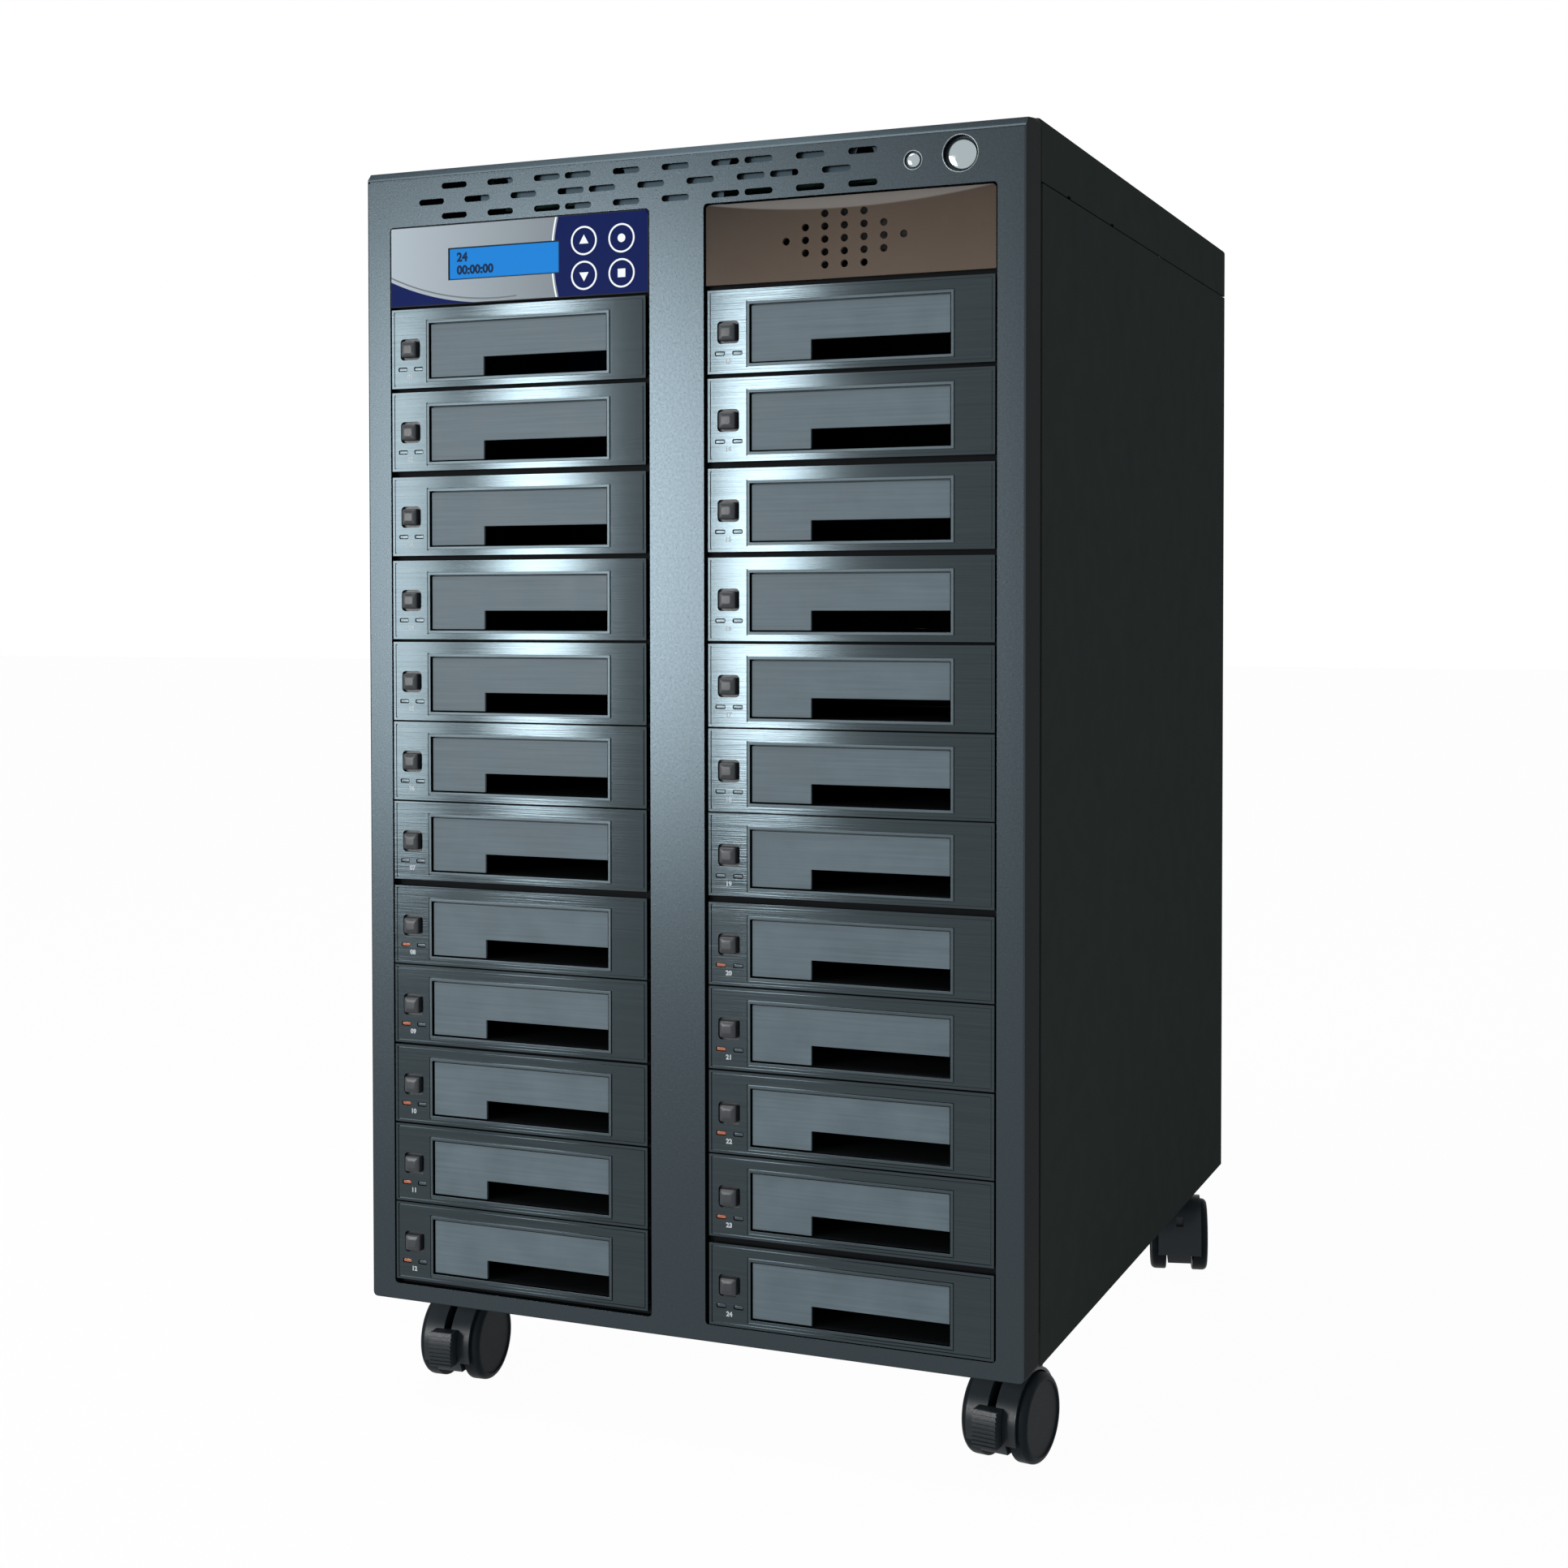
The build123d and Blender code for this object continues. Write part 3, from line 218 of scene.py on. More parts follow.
class FinishColours(bpy.types.PropertyGroup):
    bezel: colour("Bezel paint", "Metallic textured paint of the front bezel", 0.038, 0.049, 0.056)
    cover: colour("Cover paint", "Matt paint of the covers", 0.036, 0.042, 0.039)
    brushed: colour("Brushed faces", "Brushed metal of the rack faces", 0.040, 0.052, 0.058)
    flap: colour("Flaps", "Lacquered flaps", 0.096, 0.125, 0.141)
    plate: colour("Cover plate", "Glossy brown cover plate", 0.080, 0.060, 0.046)
    display: colour("Display", "Lit display window", 0.004, 0.220, 0.680)
    navy: colour("Panel blue", "Dark blue print of the control panel", 0.003, 0.009, 0.068)
    silver: colour("Panel silver", "Silver print of the control panel", 0.30, 0.34, 0.37)
    plastic: colour("Caster plastic", "Black plastic of the casters", 0.015, 0.020, 0.024)
    amber: colour("Amber lamp", "Colour of the lit lamps", 0.30, 0.085, 0.04)


def deselect():
    """Leaves no piece selected."""
    bpy.ops.object.select_all(action="DESELECT")


def activate(piece):
    """Makes the piece the active one and the only one selected."""
    deselect()
    piece.select_set(True)
    bpy.context.view_layer.objects.active = piece


def settle(piece):
    """Puts the piece's place, turn and size into its mesh."""
    activate(piece)
    bpy.ops.object.transform_apply(location=True, rotation=True, scale=True)
    return piece


def add_box(low, high, name="box"):
    """A box between two corners."""
    deselect()
    low = Vector(low)
    high = Vector(high)
    bpy.ops.mesh.primitive_cube_add(size=1, location=(low + high) / 2, scale=high - low)
    piece = bpy.context.active_object
    piece.name = name
    return settle(piece)


def add_rod(start, axis, reach, radius, sides=48, name="rod"):
    """A rod of that radius that reaches from start along axis X, Y or Z."""
    deselect()
    turns = {"X": (0, radians(90), 0), "Y": (radians(-90), 0, 0), "Z": (0, 0, 0)}
    steps = {"X": Vector((1, 0, 0)), "Y": Vector((0, 1, 0)), "Z": Vector((0, 0, 1))}
    bpy.ops.mesh.primitive_cylinder_add(
        vertices=sides, radius=radius, depth=abs(reach), location=Vector(start) + steps[axis] * reach / 2,
        rotation=turns[axis],
    )
    piece = bpy.context.active_object
    piece.name = name
    return settle(piece)


def pick_nothing(piece, kind):
    """Object mode, with nothing of the mesh selected and the kind as its way of selecting."""
    activate(piece)
    bpy.ops.object.mode_set(mode="EDIT")
    bpy.ops.mesh.select_mode(type=kind)
    bpy.ops.mesh.select_all(action="DESELECT")
    bpy.ops.object.mode_set(mode="OBJECT")


def pick_faces(piece, test):
    """Edit mode with the faces selected whose middle and normal pass the test."""
    pick_nothing(piece, "FACE")
    for face in piece.data.polygons:
        face.select = test(face.center, face.normal)
    bpy.ops.object.mode_set(mode="EDIT")


def pick_edges(piece, test):
    """Edit mode with the edges selected whose two ends pass the test."""
    pick_nothing(piece, "EDGE")
    points = piece.data.vertices
    for edge in piece.data.edges:
        edge.select = test(points[edge.vertices[0]].co, points[edge.vertices[1]].co)
    bpy.ops.object.mode_set(mode="EDIT")


def leave_edit():
    """Goes back to object mode."""
    bpy.ops.object.mode_set(mode="OBJECT")


def bevel_picked(width, segments=3):
    """Bevels the selected edges and goes back to object mode."""
    bpy.ops.mesh.bevel(offset=width, segments=segments, affect="EDGES", clamp_overlap=True)
    leave_edit()


def opening(left, low, width, height):
    """A tool that cuts a rectangle through a sheet that faces the front at zero Y."""
    return add_box((left, -OVERRUN, low), (left + width, OVERRUN, low + height))


def drill(place, radius, sides=64):
    """A tool that cuts a round hole through a sheet that faces the front at that place."""
    return add_rod(Vector(place) - Vector((0, OVERRUN, 0)), "Y", 2 * OVERRUN, radius, sides)


def cut_groove(plate, sizes, left, low, width, height, out):
    """A groove in a rack's face, with its outer edge that far outside a rectangle."""
    right = left + width + out
    high = low + height + out
    left -= out
    low -= out
    wide = sizes.groove_width
    level = sizes.groove_depth
    upright = level * 0.9
    for first_x, first_z, second_x, second_z, depth in (
        (left, low, right, low + wide, level),
        (left, high - wide, right, high, level),
        (left, low, left + wide, high, upright),
        (right - wide, low, right, high, upright),
    ):
        cut(plate, add_box((first_x, -OVERRUN, first_z), (second_x, depth, second_z)))


def crown(piece, steps):
    """Raises the piece's front in steps, each with how far in and how far up."""
    pick_faces(piece, lambda middle, normal: normal.y < -0.9)
    for inward, upward in steps:
        bpy.ops.mesh.inset(thickness=inward, depth=upward)
    leave_edit()


def add_text(body, height, place, align="CENTER"):
    """Upright digits of that height, as a thin mesh that faces the front."""
    deselect()
    bpy.ops.object.text_add(rotation=(radians(90), 0, 0))
    text = bpy.context.active_object
    text.data.body = body
    text.data.size = height * FONT_SHARE
    text.data.extrude = INK
    text.data.resolution_u = 3
    text.data.offset = height * BOLDNESS
    text.data.align_x = align
    text.location = place
    activate(text)
    bpy.ops.object.convert(target="MESH")
    return settle(bpy.context.active_object)


def round_corners(piece, radius, segments=4, test=None):
    """Rounds the edges that run from the front to the back."""
    def along(first, second):
        flat = abs(first.x - second.x) < SAME and abs(first.z - second.z) < SAME
        return flat and (test is None or test((first + second) / 2))

    pick_edges(piece, along)
    bevel_picked(radius, segments)
    return piece


def round_edges(piece, width, segments=2, angle=35):
    """Rounds all edges that are sharper than the angle, with a Bevel modifier."""
    activate(piece)
    rounding = piece.modifiers.new("rounding", "BEVEL")
    rounding.width = width
    rounding.segments = segments
    rounding.limit_method = "ANGLE"
    rounding.angle_limit = radians(angle)
    rounding.use_clamp_overlap = True
    bpy.ops.object.modifier_apply(modifier=rounding.name)
    return piece


def combine(piece, tool, operation):
    """Cuts the tool from the piece or fuses it on, and removes the tool."""
    activate(piece)
    change = piece.modifiers.new("change", "BOOLEAN")
    change.operation = operation
    change.object = tool
    change.solver = "EXACT"
    bpy.ops.object.modifier_apply(modifier=change.name)
    bpy.data.objects.remove(tool, do_unlink=True)
    return piece


def cut(piece, *tools):
    """Cuts all the tools from the piece at once."""
    return combine(piece, join(tools), "DIFFERENCE")


def fuse(piece, *tools):
    """Fuses the tools on the piece, one after the other."""
    for tool in tools:
        combine(piece, tool, "UNION")
    return piece


def join(pieces, name=None):
    """Joins the pieces into the first one."""
    pieces = list(pieces)
    if len(pieces) > 1:
        deselect()
        for piece in pieces:
            piece.select_set(True)
        bpy.context.view_layer.objects.active = pieces[0]
        bpy.ops.object.join()
    if name:
        pieces[0].name = name
    return pieces[0]


def copy_to(prototype, place):
    """A copy with its own mesh, moved by the place or turned by a matrix."""
    copy = prototype.copy()
    copy.data = prototype.data.copy()
    bpy.context.collection.objects.link(copy)
    copy.matrix_world = place if isinstance(place, Matrix) else Matrix.Translation(place)
    return settle(copy)


def repeat(prototype, places, name):
    """Joined copies of the prototype at the places. The prototype is removed."""
    copies = [copy_to(prototype, place) for place in places]
    bpy.data.objects.remove(prototype, do_unlink=True)
    return join(copies, name)


def refine(node, width, angle):
    """A copy of a CAD node with its corners merged, flats cleaned and edges rounded."""
    source = frame["nodes"][node]
    piece = source.copy()
    piece.data = source.data.copy()
    piece.parent = None
    piece.name = node + "_fine"
    for key in list(piece.keys()):
        del piece[key]
    bpy.context.collection.objects.link(piece)
    activate(piece)
    bpy.ops.object.mode_set(mode="EDIT")
    bpy.ops.mesh.select_all(action="SELECT")
    bpy.ops.mesh.remove_doubles(threshold=0.00001)
    bpy.ops.mesh.dissolve_limited(angle_limit=radians(1))
    leave_edit()
    round_edges(piece, width, 2, angle)
    return piece


def dress(piece, body, finish, slot, *nodes):
    """Gives the piece its finish, smooth shading and body, and hides the CAD nodes it stands for."""
    activate(piece)
    bpy.ops.object.shade_smooth_by_angle(angle=radians(32))
    evening = piece.modifiers.new("evening", "WEIGHTED_NORMAL")
    evening.keep_sharp = True
    evening.weight = 100
    bpy.ops.object.modifier_apply(modifier=evening.name)
    piece.data.materials.clear()
    piece.data.materials.append(finish_of(finish))
    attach(piece, body)
    if nodes:
        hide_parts(*nodes)
    return piece


def dress_copy(node, finish, slot, body="case", width=0.3 * MM, angle=35):
    """Lets a refined copy of a CAD node stand for it."""
    dress(refine(node, width, angle), body, finish, slot, node)


def paint_node(name, finish):
    """Gives a CAD node that stays in view its finish."""
    mesh = frame["nodes"][name].data
    mesh.materials.clear()
    mesh.materials.append(finish_of(finish))


class Finish:
    """A node-built finish, made step by step."""

    def __init__(self, name, shade, roughness, metallic=0.0):
        self.material = bpy.data.materials.new(name)
        self.material.use_nodes = True
        self.nodes = self.material.node_tree.nodes
        self.links = self.material.node_tree.links
        self.shader = self.nodes["Principled BSDF"]
        self.shade = shade
        self.socket("Base Color", (*shade, 1.0))
        self.socket("Roughness", roughness)
        self.socket("Metallic", metallic)
        self.place = self.nodes.new("ShaderNodeTexCoord").outputs["Object"]
        self.last_bump = None

    def socket(self, name, value):
        """Sets one of the finish's plain values."""
        self.shader.inputs[name].default_value = value

    def add_node(self, kind, values, sources):
        """A node with those values and links on its inputs."""
        node = self.nodes.new(kind)
        for name, value in values.items():
            node.inputs[name].default_value = value
        for name, source in sources.items():
            self.links.new(source, node.inputs[name])
        return node

    def noise(self, scale, detail=3.0, stretch=(1, 1, 1)):
        """Noise on the piece's own coordinates, in features per metre."""
        mapping = self.add_node("ShaderNodeMapping", {"Scale": stretch}, {"Vector": self.place})
        source = {"Vector": mapping.outputs["Vector"]}
        noise = self.add_node("ShaderNodeTexNoise", {"Scale": scale, "Detail": detail}, source)
        return noise.outputs["Fac"]

    def ramp(self, value, low, high, low_out=0.0, high_out=1.0, smooth=False):
        """The value spread between two outputs."""
        ends = {"From Min": low, "From Max": high, "To Min": low_out, "To Max": high_out}
        spread = self.add_node("ShaderNodeMapRange", ends, {"Value": value})
        if smooth:
            spread.interpolation_type = "SMOOTHSTEP"
        return spread.outputs["Result"]

    def mix(self, value, under, over):
        """Base colour between two colours, of which the first may come from another node."""
        mix = self.nodes.new("ShaderNodeMix")
        mix.data_type = "RGBA"
        if isinstance(under, bpy.types.NodeSocket):
            self.links.new(under, mix.inputs["A"])
        else:
            mix.inputs["A"].default_value = (*under, 1.0)
        mix.inputs["B"].default_value = (*over, 1.0)
        self.links.new(value, mix.inputs["Factor"])
        self.links.new(mix.outputs["Result"], self.shader.inputs["Base Color"])

    def vary(self, value, low, high):
        """Colour that goes from low to high times the shade with the value."""
        self.mix(value, [part * low for part in self.shade], [min(part * high, 1.0) for part in self.shade])

    def cover_with(self, mask, shade):
        """Another colour over the varied one where the mask is one."""
        self.mix(mask, self.shader.inputs["Base Color"].links[0].from_socket, shade)

    def rough(self, value, low, high):
        """Roughness that goes from low to high with the value."""
        self.links.new(self.ramp(value, 0.3, 0.7, low, high), self.shader.inputs["Roughness"])

    def bump(self, value, strength, distance):
        """A bump of that depth in metres, on top of the bumps so far."""
        amounts = {"Strength": strength, "Distance": distance}
        bump = self.add_node("ShaderNodeBump", amounts, {"Height": value})
        if self.last_bump:
            self.links.new(self.last_bump.outputs["Normal"], bump.inputs["Normal"])
        self.links.new(bump.outputs["Normal"], self.shader.inputs["Normal"])
        self.last_bump = bump

    def maths(self, operation, first, second=0.0):
        """One step of arithmetic on values or numbers."""
        step = self.nodes.new("ShaderNodeMath")
        step.operation = operation
        for socket, value in zip(step.inputs, (first, second)):
            if isinstance(value, bpy.types.NodeSocket):
                self.links.new(value, socket)
            else:
                socket.default_value = value
        return step.outputs["Value"]

    def plus(self, first, second):
        return self.maths("ADD", first, second)

    def minus(self, first, second):
        return self.maths("SUBTRACT", first, second)

    def times(self, first, second):
        return self.maths("MULTIPLY", first, second)

    def blend(self, first, second):
        """The mean of two values."""
        return self.times(self.plus(first, second), 0.5)

    def axes(self):
        """The piece's own X, Y and Z as values."""
        return self.add_node("ShaderNodeSeparateXYZ", {}, {"Vector": self.place}).outputs

    def bowed(self, bow):
        """Height over a gently bowed face, the same in both columns of racks."""
        left, right = (rack_corners(side)[0].x for side in SIDES)
        step = right - left
        place = self.maths("FLOORED_MODULO", self.plus(self.axes()["X"], step - left), step)
        off = self.plus(place, -bpy.context.scene.duplicator_racks.face_width / 2)
        return self.times(self.times(off, off), -bow)


def hammered_paint(name, shade):
    """Metallic paint with fine, sparse dents."""
    finish = Finish(name, shade, roughness=0.27, metallic=0.9)
    finish.vary(finish.noise(900, detail=2.0), 0.95, 1.05)
    finish.rough(finish.noise(700, detail=2.0), 0.25, 0.29)
    dents = finish.ramp(finish.noise(620, detail=1.0), 0.62, 0.78)
    finish.bump(dents, strength=0.25, distance=0.00005)
    finish.socket("Specular Tint", (0.12, 0.12, 0.12, 1.0))
    return finish


def matt_paint(name, shade):
    """Matt powder coat that reflects almost nothing."""
    finish = Finish(name, shade, roughness=0.7)
    grain = finish.noise(1500, detail=2.0)
    finish.vary(finish.noise(60, detail=3.0), 0.9, 1.1)
    finish.bump(grain, strength=0.4, distance=0.00005)
    finish.socket("Specular IOR Level", 0.0)
    return finish


def brushed_metal(name, shade, roughness, bow=0.0, depth=0.0001):
    """Metal brushed along X. A bow turns its left end to the left and its right end to the right."""
    finish = Finish(name, shade, roughness, metallic=1.0)
    streaks = finish.noise(1700, detail=4.0, stretch=(0.012, 1.0, 1.0))
    finish.vary(streaks, 0.75, 1.25)
    finish.bump(streaks, strength=0.4, distance=depth)
    if bow:
        finish.bump(finish.bowed(bow), strength=1.0, distance=1.0)
    return finish


def lacquer(name, shade):
    """Dull lacquer with soft clouds and long faint streaks."""
    finish = Finish(name, shade, roughness=0.38)
    clouds = finish.noise(45, detail=3.0)
    streaks = finish.noise(900, detail=2.0, stretch=(0.02, 1.0, 1.0))
    finish.vary(finish.blend(clouds, streaks), 0.6, 1.38)
    finish.rough(clouds, 0.3, 0.46)
    finish.bump(streaks, strength=0.3, distance=0.00002)
    finish.socket("Specular IOR Level", 0.08)
    return finish


def moulded_plastic(name, shade, roughness, gloss=0.12, grain=1800):
    """Moulded plastic with a fine grain."""
    finish = Finish(name, shade, roughness)
    fine = finish.noise(grain, detail=2.0)
    finish.vary(finish.noise(grain / 20, detail=2.0), 0.85, 1.15)
    finish.rough(fine, roughness - 0.05, roughness + 0.08)
    finish.bump(fine, strength=0.3, distance=0.00003)
    finish.socket("Specular IOR Level", gloss)
    return finish


def zinc_sheet(name):
    """Zinc-plated sheet with soft spangle."""
    finish = Finish(name, (0.5, 0.52, 0.53), roughness=0.42, metallic=1.0)
    finish.vary(finish.noise(140, detail=2.0), 0.8, 1.1)
    finish.rough(finish.noise(260, detail=2.0), 0.34, 0.5)
    return finish


finishes = {}


def finish_of(name):
    """The finish of that name, made when it's first asked for."""
    if name not in finishes:
        colours = bpy.context.scene.duplicator_colours
        # The wheels get the caster plastic a quarter darker: painted shade for the wheel discs, which face
        # away from the lamps.
        darker = [part * 0.75 for part in colours.plastic]
        brighter = [part * 1.3 for part in colours.brushed]
        makers = {
            "bezel paint": (hammered_paint, colours.bezel),
            "cover paint": (matt_paint, colours.cover),
            "brushed face": (brushed_metal, colours.brushed, 0.17, 0.65),
            "bright rim": (brushed_metal, colours.brushed, 0.36),
            "flap lacquer": (lacquer, colours.flap),
            "black plastic": (moulded_plastic, colours.plastic, 0.42),
            "hood plastic": (moulded_plastic, colours.plastic, 0.33, 0.2),
            "wheel plastic": (moulded_plastic, darker, 0.4, 0.03),
            "button grey": (moulded_plastic, (0.022, 0.026, 0.030), 0.34, 0.35),
            "chrome": (chrome,),
            "zinc sheet": (zinc_sheet,),
            "board green": (moulded_plastic, (0.01, 0.05, 0.03), 0.4),
            # The cover plate's finish carries painted shade and a painted reflection.
            "brown plate": (glossy_plate, colours.plate),
            "lamp clear": (lens_silver, brighter),
            "lamp amber": (lamp_plastic, colours.amber, 0.15),
            "panel film": (panel_film, colours),
            "display glow": (display_glow, colours.display),
            "white print": (printed_ink, WHITE_INK),
            "grey print": (printed_ink, (0.42, 0.46, 0.48)),
            "display ink": (printed_ink, (0.004, 0.02, 0.06)),
            # Near-black paint that stands for the shade deep in wells and gaps.
            "dark well": (moulded_plastic, (0.008, 0.009, 0.01), 0.6, 0.03),
            "chassis sheet": (brushed_metal, (0.028, 0.041, 0.05), 0.5),
            "ring steel": (brushed_metal, (0.17, 0.19, 0.2), 0.35),
            "screw steel": (brushed_metal, (0.12, 0.12, 0.125), 0.4),
        }
        maker, *details = makers[name]
        finishes[name] = maker(name, *details).material
    return finishes[name]


def chrome(name):
    """Polished plating with the faintest waves."""
    finish = Finish(name, (0.40, 0.46, 0.48), roughness=0.06, metallic=1.0)
    finish.rough(finish.noise(900, detail=2.0), 0.04, 0.09)
    return finish


def glossy_plate(name, shade):
    """Glossy tinted plate, painted darker toward its top and its left end as painted shade, with a pale
    curved sheen along the upper edge that is a painted reflection.
    """
    finish = Finish(name, shade, roughness=0.3)
    tall = bpy.context.scene.duplicator_panel.painted_sheen_tall
    low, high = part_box("cover_plate")
    middle = (low.x + high.x) / 2
    x, _, z = finish.axes()
    # Painted shade: darker toward the top and toward the left end.
    upward = finish.ramp(z, low.z, high.z, 1.0, 0.15)
    painted_shade_left = finish.ramp(x, low.x, middle, 0.35, 1.0)
    finish.vary(finish.blend(upward, painted_shade_left), 0.12, 1.15)
    # Painted reflection: a pale arch of colour along the top edge.
    share = finish.times(finish.plus(x, -middle), 2 / (high.x - low.x))
    arch = finish.minus(1.0, finish.times(share, share))
    margin = 0.8 * MM
    fade = 0.9 * MM
    under = finish.minus(high.z - margin, finish.times(arch, tall))
    sheen = finish.ramp(finish.minus(z, under), 0.0, fade, 0.0, 0.38, smooth=True)
    finish.cover_with(sheen, (0.26, 0.25, 0.24))
    finish.rough(finish.noise(60, detail=2.0), 0.2, 0.34)
    finish.socket("Specular IOR Level", 0.03)
    return finish


def lens_silver(name, shade):
    """Unlit clear lens over a silver base."""
    finish = Finish(name, shade, roughness=0.24, metallic=0.85)
    finish.vary(finish.noise(700, detail=1.0), 0.8, 1.2)
    return finish


def lamp_plastic(name, shade, glow):
    """Tinted lens plastic, faintly lit from behind."""
    finish = Finish(name, shade, roughness=0.15)
    finish.vary(finish.noise(700, detail=1.0), 0.75, 1.2)
    finish.socket("Emission Color", (*shade, 1.0))
    finish.socket("Emission Strength", glow)
    return finish


def printed_ink(name, shade):
    """Screen-printed ink."""
    finish = Finish(name, shade, roughness=0.5)
    finish.socket("Specular IOR Level", 0.05)
    finish.vary(finish.noise(2500, detail=2.0), 0.85, 1.05)
    return finish


def display_glow(name, shade):
    """A backlit display with a faint cell pattern."""
    finish = Finish(name, [part * 0.1 for part in shade], roughness=0.4)
    finish.vary(finish.noise(1600, detail=1.0), 0.9, 1.1)
    finish.socket("Emission Color", (*shade, 1.0))
    finish.socket("Emission Strength", 0.86)
    finish.socket("Specular IOR Level", 0.05)
    return finish


def panel_film(name, colours):
    """Printed film: silver, with a dark blue field behind the keys and a blue lower corner, and a dark line
    along its edge that is painted shade.
    """
    finish = Finish(name, colours.silver, roughness=0.35)
    sizes = bpy.context.scene.duplicator_panel
    low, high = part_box("control_panel")
    middle = (low + high) / 2
    x, _, z = finish.axes()

    def reach(centre_x, centre_z):
        """The distance from a point of the film."""
        across = finish.plus(x, -centre_x)
        up = finish.plus(z, -centre_z)
        return finish.maths("SQRT", finish.plus(finish.times(across, across), finish.times(up, up)))

    def inside(distance, radius):
        """One where the distance is less than the radius."""
        return finish.maths("LESS_THAN", distance, radius)

    def band(distance, radius, near, far):
        """One between two counts of line widths out from the radius."""
        line = sizes.film_line
        return finish.minus(inside(distance, radius + far * line), inside(distance, radius + near * line))

    def past_edge(centre_x, wide, centre_z, tall):
        """How far a point lies outside a rectangle, less than zero within."""
        beside = finish.plus(finish.maths("ABSOLUTE", finish.plus(x, -centre_x)), -wide / 2)
        over = finish.plus(finish.maths("ABSOLUTE", finish.plus(z, -centre_z)), -tall / 2)
        return finish.maths("MAXIMUM", beside, over)

    field = reach(low.x + sizes.field_left + sizes.field_radius, middle.z)
    corner = reach(low.x + sizes.corner_x, low.z + sizes.corner_radius)
    left_half = inside(x, middle.x)
    blue_corner = finish.times(finish.minus(1.0, inside(corner, sizes.corner_radius)), left_half)
    edging = finish.times(band(corner, sizes.corner_radius, -3, -2), left_half)
    finish.vary(finish.ramp(x, low.x, low.x + sizes.field_left, 1.0, 0.55), 0.0, 1.12)
    finish.cover_with(finish.maths("MAXIMUM", inside(field, sizes.field_radius), blue_corner), colours.navy)
    finish.cover_with(band(field, sizes.field_radius, 1, 2), WHITE_INK)
    finish.cover_with(edging, [part * 0.45 for part in colours.silver])
    window = past_edge(-sizes.window_x, sizes.window_width, floor_gap() + sizes.window_z, sizes.window_tall)
    finish.cover_with(inside(window, sizes.window_line), DARK_INK_AND_EDGE_SHADE)
    # Painted shade: a dark line round the film's edge, for the shadow in the gap between the film and the
    # bezel.
    rim = past_edge(middle.x, high.x - low.x, middle.z, high.z - low.z)
    finish.cover_with(finish.maths("GREATER_THAN", rim, -sizes.window_line), DARK_INK_AND_EDGE_SHADE)
    finish.socket("Specular IOR Level", 0.02)
    return finish


def rack_corners(side):
    """Lower left front corners of a column's rack faces, read from its flaps."""
    sizes = bpy.context.scene.duplicator_racks
    corners = []
    for number in range(1, RACKS + 1):
        low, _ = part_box(f"flap_{side}_{number:02d}")
        corners.append(Vector((
            low.x + sizes.pin_reach - sizes.flap_gap - sizes.mouth_left,
            front(),
            low.z - sizes.flap_gap - sizes.mouth_bottom,
        )))
    return corners


def front():
    """Y of the bezel's face."""
    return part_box("front_bezel")[0].y


def floor_gap():
    """Height of the body's bottom over the floor."""
    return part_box("front_bezel")[0].z


def on_front(x, z, back=0.0):
    """A point that far behind the bezel's face and that high over the body's bottom."""
    return Vector((x, front() + back, floor_gap() + z))


